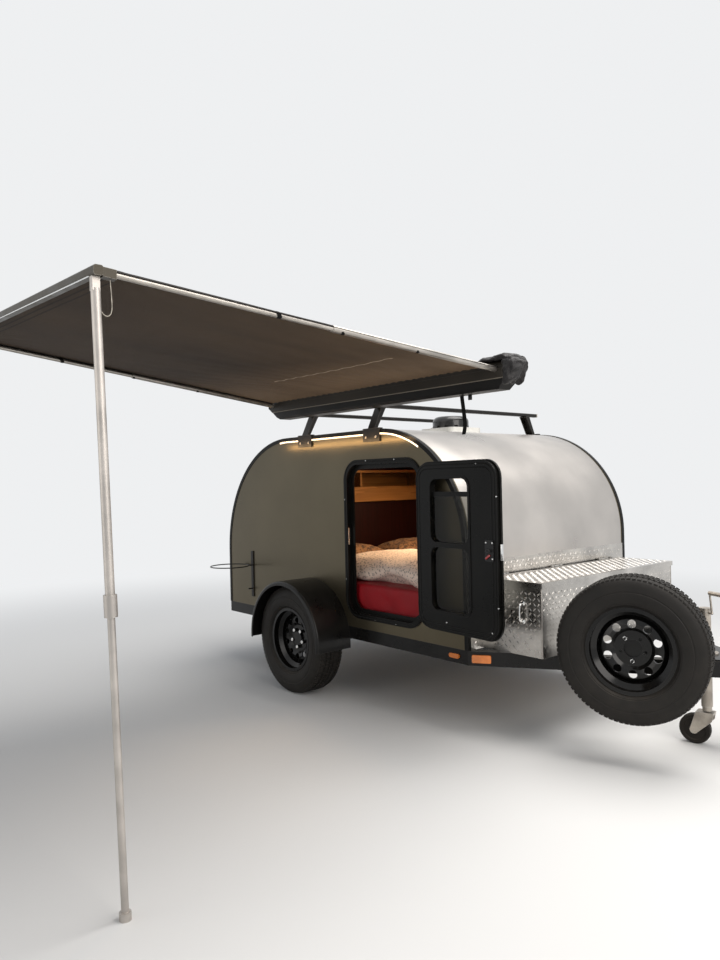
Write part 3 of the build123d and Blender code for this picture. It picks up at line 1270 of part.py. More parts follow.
def tail_lamps():
    """Two round-cornered lamps on the rear panel."""
    lamps = []
    for side in (-1, 1):
        origin = (0, side * (INNER - TAIL_LAMP_INSET), BODY_BOTTOM + TAIL_LAMP_RISE)
        plane = Plane(origin=origin, x_dir=(0, 1, 0), z_dir=(-1, 0, 0))
        lamp = extrude(plane * RectangleRounded(*TAIL_LAMP_SIZE, 16), amount=TAIL_LAMP_THICK)
        lamps.append(fillet(lamp.faces().sort_by(Axis.X)[0].edges(), 6))
    return Part() + lamps


def marker_lamps():
    """Amber side markers: one on each front rail end and one on each tongue member's root."""
    z = RAIL_TOP - RAIL_HEIGHT / 2
    rail_x = BODY_LENGTH - RAIL_LAMP_FROM_FRONT
    rail_lamp = round_rect_xz((rail_x, z), RAIL_LAMP_SIZE, 11, (-HALF - RAIL_LAMP_THICK, -HALF))
    a = radians(TONGUE_ANGLE)
    along = TONGUE_LAMP_ALONG
    origin = (BODY_LENGTH + along * cos(a), -HALF + along * sin(a), z)
    plane = Plane(origin=origin, x_dir=(cos(a), sin(a), 0), z_dir=(sin(a), -cos(a), 0))
    tongue_lamp = extrude(plane * RectangleRounded(*TONGUE_LAMP_SIZE, 6), amount=TONGUE_LAMP_THICK)
    return both_sides(rail_lamp) + both_sides(tongue_lamp)


def floor_panel():
    """The floor between the walls, resting on the chassis."""
    return block((ROOF, BODY_LENGTH - ROOF), (-INNER, INNER), (BODY_BOTTOM, BODY_BOTTOM + FLOOR))


def bulkhead():
    """The wall between cabin and galley, open behind the cabin shelf."""
    x = (BULKHEAD_X, BULKHEAD_X + BOARD)
    y = (-INNER, INNER)
    panel = block(x, y, (BODY_BOTTOM + FLOOR, BODY_TOP))
    panel = panel & body_profile(ROOF + MOVING_GAP, BODY_BOTTOM, grown(y, 1))
    return panel - block(grown(x, 1), grown(y, -SHELF_SIDE_GAP), (SHELF_Z, SHELF_TOP + BOARD))


def cabin_shelf():
    """The wide shelf in the cabin's rear wall: board, fascia, back, top and three uprights."""
    x = (BULKHEAD_X + BOARD - SHELF_DEPTH, BULKHEAD_X + BOARD + SHELF_FORWARD)
    y = grown((-INNER, INNER), -SHELF_SIDE_GAP)
    tray = block(x, y, (SHELF_Z, SHELF_Z + BOARD))
    tray += block((x[1] - BOARD, x[1]), y, (SHELF_Z, SHELF_Z + SHELF_FASCIA))
    tray += block((x[0], x[0] + BOARD), y, (SHELF_Z, SHELF_TOP + BOARD))
    tray += block(x, y, (SHELF_TOP, SHELF_TOP + BOARD))
    for side in (y[0], y[1] - BOARD, -BOARD / 2):
        tray += block((x[0], x[1] - BOARD), (side, side + BOARD), (SHELF_Z, SHELF_TOP + BOARD))
    return tray


def galley_counter():
    """The galley's worktop and the cupboard under it."""
    x = (COUNTER_X, BULKHEAD_X)
    y = (-INNER, INNER)
    low = BODY_BOTTOM + FLOOR
    front = x[0] + COUNTER_TOE
    unit = block(x, y, (COUNTER_Z, COUNTER_Z + COUNTER_THICK))
    unit += block((front, front + BOARD), y, (low, COUNTER_Z))
    for side in (y[0] + CUPBOARD_SPLIT, y[1] - CUPBOARD_SPLIT - BOARD):
        unit += block((front, x[1]), (side, side + BOARD), (low, COUNTER_Z))
    return unit


def mattress():
    """The mattress that fills the cabin floor."""
    z = (BODY_BOTTOM + FLOOR + SEAT_GAP, MATTRESS_TOP)
    x = (BULKHEAD_X + BOARD + SEAT_GAP, BODY_LENGTH - MATTRESS_TO_FRONT)
    pad = block(x, grown((-INNER, INNER), -MATTRESS_TO_WALL), z)
    return fillet(pad.edges().filter_by(Axis.Z) + pad.edges().group_by(Axis.Z)[-1], MATTRESS_CORNER)


def blanket():
    """The folded blanket across the bed."""
    z = (MATTRESS_TOP + SEAT_GAP, MATTRESS_TOP + BLANKET_THICK)
    x = (BULKHEAD_X + BLANKET_FROM_BULKHEAD, BODY_LENGTH - BLANKET_TO_FRONT)
    roll = block(x, (-INNER + BLANKET_TO_WALL, BLANKET_LEFT_Y), z)
    return fillet(roll.edges().group_by(Axis.Z)[-1] + roll.edges().filter_by(Axis.Z), BLANKET_CORNER)


def pillows():
    """Two pillows side by side at the rear of the bed."""
    z = (MATTRESS_TOP + SEAT_GAP, MATTRESS_TOP + PILLOW_THICK)
    start = BULKHEAD_X + BOARD + SHELF_FORWARD
    half_gap = PILLOW_BETWEEN / 2
    right = block((start, start + PILLOW_LENGTH), (PILLOW_TO_WALL - INNER, -half_gap), z)
    return both_sides(fillet(right.edges(), PILLOW_CORNER))


def build():
    """Every node's shape in trailer coordinates, with the right door swung open."""
    to_pin = Pos(DOOR_PIN_X, -DOOR_PIN_Y, 0)
    door_swing = to_pin * Rot(0, 0, DOOR_OPEN_ANGLE) * to_pin.inverse()
    leaf = door_leaf()
    panes = window_glass()
    latch = door_latch()
    wheel = road_wheel()
    rubber = placed(tyre(), (AXLE_X, -TRACK_HALF, AXLE_Z), (0, -1, 0))
    return {
        "chassis_frame": chassis(),
        "coupler": coupler(),
        "axle": axle(),
        "fenders": both_sides(fender()),
        "floor": floor_panel(),
        "side_wall_right": side_wall(),
        "side_wall_left": mirrored(side_wall()),
        "roof_skin": roof_skin(),
        "rear_panel": rear_panel(),
        "edge_trims": both_sides(edge_trim()),
        "stone_guard": stone_guard(),
        "door_frames": both_sides(door_frame()),
        "bulkhead": bulkhead(),
        "cabin_shelf": cabin_shelf(),
        "galley_counter": galley_counter(),
        "mattress": mattress(),
        "blanket": blanket(),
        "pillows": pillows(),
        "tongue_box": tongue_box(),
        "spare_carrier": spare_carrier(),
        "spare_wheel": spare_wheel(),
        "spare_tyre": spare_plane(0) * tyre(),
        "rack_feet": rack_feet(),
        "rack_bars": rack_bars(),
        "vent_base": vent_base(),
        "led_strip": led_strip(),
        "hoop_holder": hoop_holder(),
        "awning_case": awning_case(),
        "awning_bag": awning_bag(),
        "awning_rafters": awning_rafters(),
        "awning_lead_rail": awning_lead(),
        "awning_legs": awning_legs(),
        "awning_canopy": awning_canopy(),
        "tail_lamps": tail_lamps(),
        "marker_lamps": marker_lamps(),
        "jack_tube": jack_tube(),
        "wheel_right": wheel,
        "tyre_right": rubber,
        "wheel_left": mirrored(wheel),
        "tyre_left": mirrored(rubber),
        "door_right": door_swing * leaf,
        "door_window_right": door_swing * panes,
        "door_latch_right": door_swing * latch,
        "door_left": mirrored(leaf),
        "door_window_left": mirrored(panes),
        "door_latch_left": mirrored(latch),
        "galley_hatch": hatch(),
        "tongue_box_lid": box_lid(),
        "vent_lid": vent_lid(),
        "jack_leg": jack_leg(),
        "jack_fork": caster_fork(),
        "jack_wheel": caster_wheel(),
    }


def origin_shift(shapes):
    """The move that puts the origin on the ground under the middle of the whole."""
    boxes = [shape.bounding_box() for shape in shapes.values()]
    middle = []
    for axis in ("X", "Y"):
        low = min(getattr(box.min, axis) for box in boxes)
        high = max(getattr(box.max, axis) for box in boxes)
        middle.append((low + high) / 2)
    return Pos(-middle[0], -middle[1], 0)


if __name__ == "__main__":
    os.makedirs("parts", exist_ok=True)
    pieces = build()
    shift = origin_shift(pieces)
    print("origin moved by", shift.position)
    for name, piece in pieces.items():
        export_step(shift * piece, f"parts/{name}.step")
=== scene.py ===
# %% [markdown]
# # A teardrop trailer under its side awning
#
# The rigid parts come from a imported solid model, which this lesson loads first. Everything that a solid
# model leaves plain is made here: metal grain, tread plate, tyre treads, cloth, cords, screws and light.
# All sizes are in metres. X runs from the trailer's rear to its hitch, Y to its left side, Z up.

# %% Load the solid parts
import math

import bmesh
import bpy
from mathutils import Matrix, Vector, noise


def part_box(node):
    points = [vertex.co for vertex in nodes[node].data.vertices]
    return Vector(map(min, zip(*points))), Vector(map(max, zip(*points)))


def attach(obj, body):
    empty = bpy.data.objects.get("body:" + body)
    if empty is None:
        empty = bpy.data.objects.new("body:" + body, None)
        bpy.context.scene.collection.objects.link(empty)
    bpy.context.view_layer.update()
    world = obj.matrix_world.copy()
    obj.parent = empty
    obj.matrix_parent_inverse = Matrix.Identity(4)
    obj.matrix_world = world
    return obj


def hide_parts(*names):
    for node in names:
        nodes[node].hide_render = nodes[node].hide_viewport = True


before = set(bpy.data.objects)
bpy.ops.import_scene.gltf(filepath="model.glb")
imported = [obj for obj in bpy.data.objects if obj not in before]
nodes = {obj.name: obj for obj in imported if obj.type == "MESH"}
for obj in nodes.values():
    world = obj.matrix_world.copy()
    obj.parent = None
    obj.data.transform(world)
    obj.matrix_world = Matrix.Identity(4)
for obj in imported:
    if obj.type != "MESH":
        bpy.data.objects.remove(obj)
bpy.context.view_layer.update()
scene = bpy.context.scene
bpy.ops.object.select_all(action="DESELECT")

# %% [markdown]
# The trailer is easiest to think about from the foot of its rear panel, on the centre line. This helper
# turns such a place into the place that the loaded parts use.

# %% Places on the trailer
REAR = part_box("rear_panel")[0].x
MIDDLE = (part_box("floor")[0].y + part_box("floor")[1].y) / 2


def at(x, y, z):
    """A point measured from the body's rear, its centre line and the ground."""
    return Vector((REAR + x, MIDDLE + y, z))


print("rear of the body at", round(REAR, 4), "centre line at", round(MIDDLE, 4))

# %% [markdown]
# ## The camera
#
# The camera stands level off the front right corner, 1.36 m above the ground. It is set by its place and by
# three directions: right, up and backwards.

# %% Camera
EYE = at(5.049, -3.705, 1.361)
YAW = math.radians(-49.8)
PITCH = math.radians(0.13)
ROLL = math.radians(-1.25)
FOCAL_PIXELS = 736.2
PICTURE_HEIGHT = 960

forward = Vector((math.sin(YAW) * math.cos(PITCH), math.cos(YAW) * math.cos(PITCH), math.sin(PITCH)))
level_right = Vector((math.cos(YAW), -math.sin(YAW), 0))
level_up = level_right.cross(forward)
right = level_right * math.cos(ROLL) + level_up * math.sin(ROLL)
up = level_up * math.cos(ROLL) - level_right * math.sin(ROLL)

bpy.ops.object.camera_add(location=EYE)
camera = bpy.context.object
camera.name = "camera"
turn = Matrix((right, up, -forward)).transposed()
camera.rotation_euler = turn.to_euler()
camera.data.sensor_width = 36
camera.data.lens = FOCAL_PIXELS * camera.data.sensor_width / PICTURE_HEIGHT
camera.data.clip_end = 200
scene.camera = camera
scene.view_settings.view_transform = "Standard"
print("camera at", tuple(round(c, 3) for c in EYE), "lens", round(camera.data.lens, 2), "mm")

# %% [markdown]
# ## The loose cord
#
# At the awning's front corner a thin pale cord drops out of the rafter's end, hangs in a short loop and
# goes back into an eyelet on the pole. Its line is a smooth curve through a few points.

# %% Smooth lines


def smooth_line(name, points, resolution):
    """A smooth curve led by a few points, still without thickness."""
    curve = bpy.data.curves.new(name, "CURVE")
    curve.dimensions = "3D"
    spline = curve.splines.new("NURBS")
    spline.points.add(len(points) - 1)
    for knot, point in zip(spline.points, points):
        knot.co = (*point, 1)
    spline.order_u = 3
    spline.use_endpoint_u = True
    spline.resolution_u = resolution
    line = bpy.data.objects.new(name, curve)
    scene.collection.objects.link(line)
    return line


def thickened(line, radius):
    """The curve turned into the mesh of a round rod."""
    line.data.bevel_depth = radius
    line.data.bevel_resolution = 3
    line.data.use_fill_caps = True
    bpy.ops.object.select_all(action="DESELECT")
    line.select_set(True)
    bpy.context.view_layer.objects.active = line
    bpy.ops.object.convert(target="MESH")
    return bpy.context.object


# %% Corner cord
CORD_DIAMETER = 0.0028
CORD_POINTS = [(2.795, -2.806, 2.016), (2.791, -2.803, 1.990), (2.786, -2.798, 1.945), (2.784, -2.797, 1.918),
               (2.784, -2.803, 1.900), (2.784, -2.816, 1.895), (2.784, -2.829, 1.904), (2.784, -2.837, 1.918)]
corner_line = smooth_line("corner_cord", [at(*point) for point in CORD_POINTS], 12)
route = bpy.data.meshes.new_from_object(corner_line)
corner_cord = thickened(corner_line, CORD_DIAMETER / 2)
bpy.ops.object.shade_smooth()
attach(corner_cord, "trailer")
print("corner cord from", CORD_POINTS[0], "to", CORD_POINTS[-1])

# %% [markdown]
# ## Small helpers for nodes
#
# A material is a tree of nodes. `node` adds one and fills in its inputs: a plain value is set, and an
# output of another node is linked.

# %% Node helpers


def node(tree, kind, inputs=None, **settings):
    """Add a node, set its options, and set or link its inputs."""
    made = tree.nodes.new(kind)
    for key, value in settings.items():
        setattr(made, key, value)
    for key, value in (inputs or {}).items():
        if isinstance(value, bpy.types.NodeSocket):
            tree.links.new(value, made.inputs[key])
        else:
            made.inputs[key].default_value = value
    return made


def maths(tree, operation, *values, clamp=False):
    """The result of a Math node."""
    made = node(tree, "ShaderNodeMath", dict(enumerate(values)), operation=operation, use_clamp=clamp)
    return made.outputs[0]


def blend_colours(tree, factor, a, b):
    """Colour a turning into colour b as factor goes from 0 to 1."""
    a, b = (colour if isinstance(colour, bpy.types.NodeSocket) else (*colour[:3], 1) for colour in (a, b))
    return node(tree, "ShaderNodeMix", {0: factor, 6: a, 7: b}, data_type="RGBA").outputs[2]


def here(tree):
    """The place of a point of the surface, in metres."""
    return node(tree, "ShaderNodeTexCoord").outputs["Object"]


def surface_normal(tree):
    """The direction that the surface looks in."""
    return node(tree, "ShaderNodeNewGeometry").outputs["Normal"]


def part_of(tree, vector, axis):
    """One of a vector's three numbers."""
    return node(tree, "ShaderNodeSeparateXYZ", {0: vector}).outputs[axis]


def stretched(tree, place, by):
    """A place with each of its three numbers multiplied."""
    return node(tree, "ShaderNodeVectorMath", {0: place, 1: by}, operation="MULTIPLY").outputs[0]


def cloudy_noise(tree, place, scale, detail, distortion=0.0):
    """Soft noise between 0 and 1."""
    return node(tree, "ShaderNodeTexNoise", {
        "Vector": place, "Scale": scale, "Detail": detail, "Distortion": distortion}).outputs["Fac"]


def ramp(tree, value, start, end, low=0.0, high=1.0, **settings):
    """From low to high while a value goes from start to end."""
    return node(tree, "ShaderNodeMapRange", {
        "Value": value, "From Min": start, "From Max": end, "To Min": low, "To Max": high},
        **settings).outputs["Result"]


def new_group(name, inputs, outputs):
    """A node group with named inputs (label, kind, value) and outputs (label, kind)."""
    group = bpy.data.node_groups.new(name, "ShaderNodeTree")
    for label, kind, value in inputs:
        socket = group.interface.new_socket(label, in_out="INPUT", socket_type="NodeSocket" + kind)
        socket.default_value = value
    for label, kind in outputs:
        group.interface.new_socket(label, in_out="OUTPUT", socket_type="NodeSocket" + kind)
    return group, group.nodes.new("NodeGroupInput").outputs, group.nodes.new("NodeGroupOutput").inputs


def use(tree, group, **inputs):
    """Place a node group in a material and give its outputs."""
    return node(tree, "ShaderNodeGroup", inputs, node_tree=group).outputs


# %% [markdown]
# ## Effects that many finishes share
#
# Real surfaces are never one even colour. Cloudy patches, a fine grain, rubbed edges and settled dust
# turn up on metal, paint, plastic and rubber alike, so each effect is one node group with its own inputs.

# %% Cloudy patches
patches, given, result = new_group(
    "patches", [("Scale", "Float", 3.0), ("Low", "Float", 0.35), ("High", "Float", 0.65)],
    [("Mask", "Float")])
cloud = cloudy_noise(patches, here(patches), given["Scale"], 5.0)
patches.links.new(ramp(patches, cloud, given["Low"], given["High"]), result["Mask"])

# %% Fine grain, round or drawn out along one direction
grain, given, result = new_group(
    "grain", [("Scale", "Float", 400.0), ("Stretch", "Vector", (1.0, 1.0, 1.0))],
    [("Height", "Float"), ("Mask", "Float")])
drawn = stretched(grain, here(grain), given["Stretch"])
wide_scale = maths(grain, "MULTIPLY", given["Scale"], 0.13)
grain.links.new(cloudy_noise(grain, drawn, given["Scale"], 3.0), result["Height"])
grain.links.new(cloudy_noise(grain, drawn, wide_scale, 4.0), result["Mask"])

# %% Rubbed edges, found by comparing the surface with a rounded copy of itself
edge_wear, given, result = new_group(
    "edge_wear", [("Width", "Float", 0.003), ("Amount", "Float", 1.0)], [("Mask", "Float")])
rounded = node(edge_wear, "ShaderNodeBevel", {"Radius": given["Width"]}, samples=4).outputs[0]
likeness = node(edge_wear, "ShaderNodeVectorMath", {0: rounded, 1: surface_normal(edge_wear)},
                operation="DOT_PRODUCT").outputs["Value"]
bend = maths(edge_wear, "SUBTRACT", 1.0, likeness)
broken = maths(edge_wear, "MULTIPLY", cloudy_noise(edge_wear, here(edge_wear), 60.0, 4.0), 14.0)
uneven = maths(edge_wear, "MULTIPLY", bend, broken)
edge_wear.links.new(maths(edge_wear, "MULTIPLY", uneven, given["Amount"], clamp=True), result["Mask"])

# %% Dust, thickest low down and on faces that look up
dust_film, given, result = new_group(
    "dust_film", [("Amount", "Float", 0.3), ("Reach", "Float", 0.8)], [("Mask", "Float")])
lowness = ramp(dust_film, part_of(dust_film, here(dust_film), "Z"), given["Reach"], 0.0, 0.25, 1.0)
upward = maths(dust_film, "MAXIMUM", part_of(dust_film, surface_normal(dust_film), "Z"), 0.25)
clumps = cloudy_noise(dust_film, here(dust_film), 22.0, 6.0)
film = maths(dust_film, "MULTIPLY", maths(dust_film, "MULTIPLY", lowness, upward), clumps)
dust_film.links.new(maths(dust_film, "MULTIPLY", film, given["Amount"], clamp=True), result["Mask"])

# %% Plain weave on any place that is given in metres
weave, given, result = new_group(
    "weave", [("Place", "Vector", (0.0, 0.0, 0.0)), ("Thread", "Float", 0.0012)],
    [("Height", "Float"), ("Mask", "Float")])
turns = maths(weave, "DIVIDE", math.pi, given["Thread"])
warp, weft = (maths(weave, "SINE", maths(weave, "MULTIPLY", part_of(weave, given["Place"], axis), turns))
              for axis in "XY")
weave.links.new(maths(weave, "MULTIPLY", warp, weft), result["Height"])
weave.links.new(cloudy_noise(weave, given["Place"], 90.0, 5.0), result["Mask"])
print("shared effects:", [group.name for group in bpy.data.node_groups])

# %% [markdown]
# ## One recipe for hard finishes
#
# Paint, plastic, rubber and metal differ in colour, shine and grain but are built up in the same order:
# base colour, cloudy patches, rubbed edges, then dust. The recipe takes those amounts and enters the
# material in the list of finishes.

# %% Hard finish recipe
DUST_COLOUR = (0.33, 0.28, 0.22)
finishes = {}


def new_finish(name, **constants):
    """A new material in the list of finishes, with its shader's sockets set: its tree and its shader."""
    material = bpy.data.materials.new(name)
    material.use_nodes = True
    shader = material.node_tree.nodes["Principled BSDF"]
    for label, value in constants.items():
        shader.inputs[label.replace("_", " ")].default_value = value
    finishes[name] = material
    return material.node_tree, shader


def emboss(tree, shader, height, depth, strength):
    """Give a finish a fine relief."""
    bump = node(tree, "ShaderNodeBump", {"Height": height, "Distance": depth, "Strength": strength})
    tree.links.new(bump.outputs[0], shader.inputs["Normal"])


def hard_finish(name, colour, rough, metal=0.0, patch=(2.5, 0.12), depth=0.0, fineness=400.0,
                stretch=(1, 1, 1), wear=0.0, worn=(0.4, 0.38, 0.35), dust=0.2, **constants):
    """A material for hard surfaces. Constants go straight to the shader's sockets."""
    tree, shader = new_finish(name, **constants)
    cloudy = use(tree, patches, Scale=patch[0])["Mask"]
    fine_grain = use(tree, grain, Scale=fineness, Stretch=stretch)
    darker = tuple(c * (1 - 2 * patch[1]) for c in colour)
    lighter = tuple(min(1, c * (1 + patch[1])) for c in colour)
    base = blend_colours(tree, cloudy, darker, lighter)
    base = blend_colours(tree, maths(tree, "MULTIPLY", fine_grain["Mask"], patch[1]), base, darker)
    if wear:
        rubbed = use(tree, edge_wear, Amount=wear)["Mask"]
        base = blend_colours(tree, rubbed, base, worn)
    dusty = use(tree, dust_film, Amount=dust)["Mask"]
    base = blend_colours(tree, dusty, base, DUST_COLOUR)
    tree.links.new(base, shader.inputs["Base Color"])
    shine = maths(tree, "MULTIPLY_ADD", cloudy, 0.12, rough - 0.05)
    shine = maths(tree, "MULTIPLY_ADD", dusty, 0.5, shine, clamp=True)
    tree.links.new(shine, shader.inputs["Roughness"])
    if metal:
        kept = maths(tree, "MULTIPLY", maths(tree, "SUBTRACT", 1.0, dusty), metal, clamp=True)
        tree.links.new(kept, shader.inputs["Metallic"])
    if depth:
        emboss(tree, shader, fine_grain["Height"], depth, 0.6)


# %% [markdown]
# ## Finishes of the solid parts
#
# The nose and roof are one bent sheet of mill-finish aluminium. Its rolling grain runs across the
# trailer, so the noise is stretched along Y. The side sheet is the same metal. Its darker bronze-grey
# colour is painted shade and a painted reflection of the dark ground under the awning. Frame, fenders
# and wheels are powder-coated black.

# %% Body and chassis finishes
hard_finish("brushed_skin", (0.57, 0.535, 0.50), 0.31, 1.0, patch=(1.6, 0.08), depth=0.0002, fineness=260.0,
            stretch=(6, 0.25, 6), dust=0.12)
# side_skin is the roof's aluminium painted darker: painted shade and painted dark reflection under the
# awning.
hard_finish("side_skin", (0.112, 0.094, 0.060), 0.32, 0.8, patch=(1.3, 0.1), depth=0.00012, fineness=500.0,
            stretch=(0.2, 1, 4), dust=0.12)
hard_finish("black_steel", (0.005, 0.005, 0.005), 0.3, patch=(5, 0.2), depth=0.0002, fineness=900.0,
            wear=0.5, worn=(0.05, 0.05, 0.05), dust=0.1, Specular_IOR_Level=0.18, Coat_Weight=0.12,
            Coat_Roughness=0.16)
hard_finish("grey_steel", (0.45, 0.405, 0.35), 0.38, 0.85, patch=(14, 0.18), depth=0.0003, fineness=500.0,
            wear=0.4, worn=(0.6, 0.6, 0.58), dust=0.5)
hard_finish("tread_plate", (0.58, 0.555, 0.52), 0.27, 1.0, patch=(6, 0.12), depth=0.0002, fineness=300.0,
            dust=0.2)
hard_finish("silver_tube", (0.50, 0.465, 0.43), 0.46, 0.8, patch=(9, 0.1), depth=0.0001, fineness=600.0,
            stretch=(1, 1, 0.1), wear=0.2, worn=(0.62, 0.60, 0.57), dust=0.08)
hard_finish("case_grey", (0.022, 0.018, 0.013), 0.4, patch=(4, 0.15), depth=0.0002, fineness=700.0,
            wear=0.3, worn=(0.12, 0.11, 0.10), dust=0.04, Specular_IOR_Level=0.2)
hard_finish("black_trim", (0.0045, 0.0045, 0.004), 0.3, patch=(6, 0.2), depth=0.0002, fineness=800.0,
            wear=0.3, worn=(0.03, 0.03, 0.028), dust=0.03, Specular_IOR_Level=0.13)
hard_finish("rack_black", (0.008, 0.007, 0.006), 0.34, patch=(12, 0.2), depth=0.0002, fineness=900.0,
            wear=0.6, worn=(0.10, 0.09, 0.08), dust=0.06, Specular_IOR_Level=0.22)

# %% Small fittings: vent, lamps, latches and rubber
hard_finish("vent_white", (0.66, 0.65, 0.61), 0.42, patch=(7, 0.08), depth=0.0002, fineness=600.0, dust=0.35)
hard_finish("vent_smoke", (0.018, 0.018, 0.018), 0.2, patch=(8, 0.15), dust=0.15, Specular_IOR_Level=0.3,
            Coat_Weight=0.3, Coat_Roughness=0.12)
hard_finish("latch_black", (0.008, 0.008, 0.008), 0.28, patch=(25, 0.2), depth=0.0002, fineness=1200.0,
            wear=0.5, worn=(0.08, 0.08, 0.08), dust=0.05, Specular_IOR_Level=0.25)
hard_finish("red_lens", (0.35, 0.008, 0.01), 0.12, patch=(12, 0.1), dust=0.1, Coat_Weight=0.8,
            Coat_Roughness=0.05)
hard_finish("amber_lens", (0.62, 0.16, 0.012), 0.16, patch=(18, 0.12), dust=0.2, Coat_Weight=0.7,
            Coat_Roughness=0.08)
hard_finish("tyre", (0.0095, 0.0085, 0.0075), 0.6, patch=(9, 0.2), depth=0.0004, fineness=500.0, wear=0.3,
            worn=(0.03, 0.027, 0.024), dust=0.2, Specular_IOR_Level=0.22)
hard_finish("caster_rubber", (0.008, 0.006, 0.005), 0.6, patch=(30, 0.2), depth=0.0004, fineness=700.0,
            wear=0.4, worn=(0.04, 0.036, 0.03), dust=0.22, Specular_IOR_Level=0.2)
print("hard finishes:", len(finishes))

# %% [markdown]
# Glass and light need their own recipes. The door panes are dark tinted acrylic with a polished face, so
# the tint is set as the glass's colour. The strip under the roof edge is a warm light behind a milky cover.

# %% Tinted panes and the light strip
tree, shader = new_finish("window_tint", Base_Color=(0.46, 0.45, 0.41, 1), IOR=1.2, Transmission_Weight=1.0)
dusty = use(tree, dust_film, Amount=0.35, Reach=2.0)["Mask"]
tree.links.new(maths(tree, "MULTIPLY_ADD", dusty, 0.6, 0.02), shader.inputs["Roughness"])

tree, shader = new_finish("led", Base_Color=(0.8, 0.7, 0.55, 1), Roughness=0.4, Emission_Strength=1.6)
diode_wave = maths(tree, "SINE", maths(tree, "MULTIPLY", part_of(tree, here(tree), "X"), 95.0))
warm = blend_colours(tree, maths(tree, "ABSOLUTE", diode_wave), (1.0, 0.62, 0.3), (1.0, 0.86, 0.66))
tree.links.new(warm, shader.inputs["Emission Color"])

# %% [markdown]
# Inside are painted and oiled boards. Wood grain is long streaks: a noise squeezed across the board, with
# a gentler one that bends the streaks, and both read as light and dark rings.

# %% Wood recipe


def wood_finish(name, light, dark, along="Y", rough=0.45, ring=26.0):
    """Oiled or stained board with its grain along one axis."""
    tree, shader = new_finish(name, Specular_IOR_Level=0.2)
    squeeze = {"X": (0.06, 1, 1), "Y": (1, 0.06, 1), "Z": (1, 1, 0.06)}[along]
    streak = stretched(tree, here(tree), squeeze)
    bend = cloudy_noise(tree, streak, ring * 0.35, 3.0)
    rings = cloudy_noise(tree, streak, ring, 6.0, distortion=0.6)
    figure = maths(tree, "FRACT", maths(tree, "MULTIPLY", bend, 9.0))
    figure = maths(tree, "MULTIPLY_ADD", figure, 0.45, maths(tree, "MULTIPLY", rings, 0.6))
    tree.links.new(blend_colours(tree, figure, light, dark), shader.inputs["Base Color"])
    tree.links.new(maths(tree, "MULTIPLY_ADD", figure, 0.15, rough - 0.08), shader.inputs["Roughness"])
    emboss(tree, shader, use(tree, grain, Scale=500.0, Stretch=squeeze)["Height"], 0.0003, 0.5)


wood_finish("honey_wood", (0.36, 0.175, 0.05), (0.14, 0.058, 0.015))
wood_finish("red_wood", (0.020, 0.0022, 0.0011), (0.007, 0.0009, 0.0005), along="Z")
wood_finish("plywood", (0.42, 0.29, 0.16), (0.24, 0.15, 0.075), along="X", ring=14.0)

# %% Finishes of the wheels, the awning's rails and the cord
hard_finish("gloss_black", (0.003, 0.003, 0.003), 0.14, patch=(14, 0.2), depth=0.0001, fineness=900.0,
            wear=0.3, worn=(0.04, 0.04, 0.04), dust=0.06, Specular_IOR_Level=0.3)
# The lead rail is the rafters' silver metal. Its dark grey-brown colour is painted shade on its outer face.
hard_finish("rail_painted_shade", (0.052, 0.044, 0.031), 0.42, 0.35, patch=(9, 0.12), depth=0.0002, fineness=600.0,
            stretch=(0.1, 1, 1), wear=0.3, worn=(0.3, 0.28, 0.25), dust=0.08, Specular_IOR_Level=0.3)
hard_finish("rafter_silver", (0.46, 0.43, 0.39), 0.35, 0.9, patch=(9, 0.12), depth=0.0001, fineness=600.0,
            stretch=(1, 0.1, 1), wear=0.2, worn=(0.6, 0.58, 0.55), dust=0.05)
hard_finish("cord_pale", (0.55, 0.50, 0.42), 0.8, patch=(60, 0.2), depth=0.0004, fineness=1400.0, dust=0.05)
corner_cord.data.materials.append(finishes["cord_pale"])

# %% Give each solid part its finish
for part in nodes.values():
    for holder in part.material_slots:
        holder.material = finishes.get(holder.material.name.split(".")[0], holder.material)
for name in ("wheel_right", "wheel_left", "spare_wheel"):
    nodes[name].material_slots[0].material = finishes["gloss_black"]
# The lead rail gets the silver metal with painted shade.
nodes["awning_lead_rail"].material_slots[0].material = finishes["rail_painted_shade"]
nodes["awning_rafters"].material_slots[0].material = finishes["rafter_silver"]
print("finished solid parts:", len(nodes))

# %% [markdown]
# The awning's case is one colour of paint on two mouldings: the lid is brown-grey, the pan under it is
# black, and a thin painted highlight runs along the lip at the seam, where light catches the ledge.
# Height alone tells them apart.

# %% Two-tone case
CASE_SEAM = 1.836
CASE_LIP_HIGHLIGHT_MIDDLE, CASE_LIP_HIGHLIGHT_HALF = CASE_SEAM + 0.002, 0.0022


def recolour(tree, shader, mask, colour):
    """Lay a colour over a finish wherever the mask is 1."""
    below = shader.inputs["Base Color"].links[0].from_socket
    tree.links.new(blend_colours(tree, mask, below, colour), shader.inputs["Base Color"])


tree = finishes["case_grey"].node_tree
shader = tree.nodes["Principled BSDF"]
level = part_of(tree, here(tree), "Z")
recolour(tree, shader, maths(tree, "LESS_THAN", level, CASE_SEAM), (0.0035, 0.0032, 0.0028))
# A painted highlight along the ledge at the seam.
recolour(tree, shader, maths(tree, "COMPARE", level, CASE_LIP_HIGHLIGHT_MIDDLE, CASE_LIP_HIGHLIGHT_HALF), (0.16, 0.14, 0.11))

# %% [markdown]
# ## Stage and light
#
# A big pale floor that melts into a pale sky keeps attention on the trailer. The floor takes real shadows
# near the trailer. Further out it turns into plain light of the same tone as the sky, so no horizon shows.

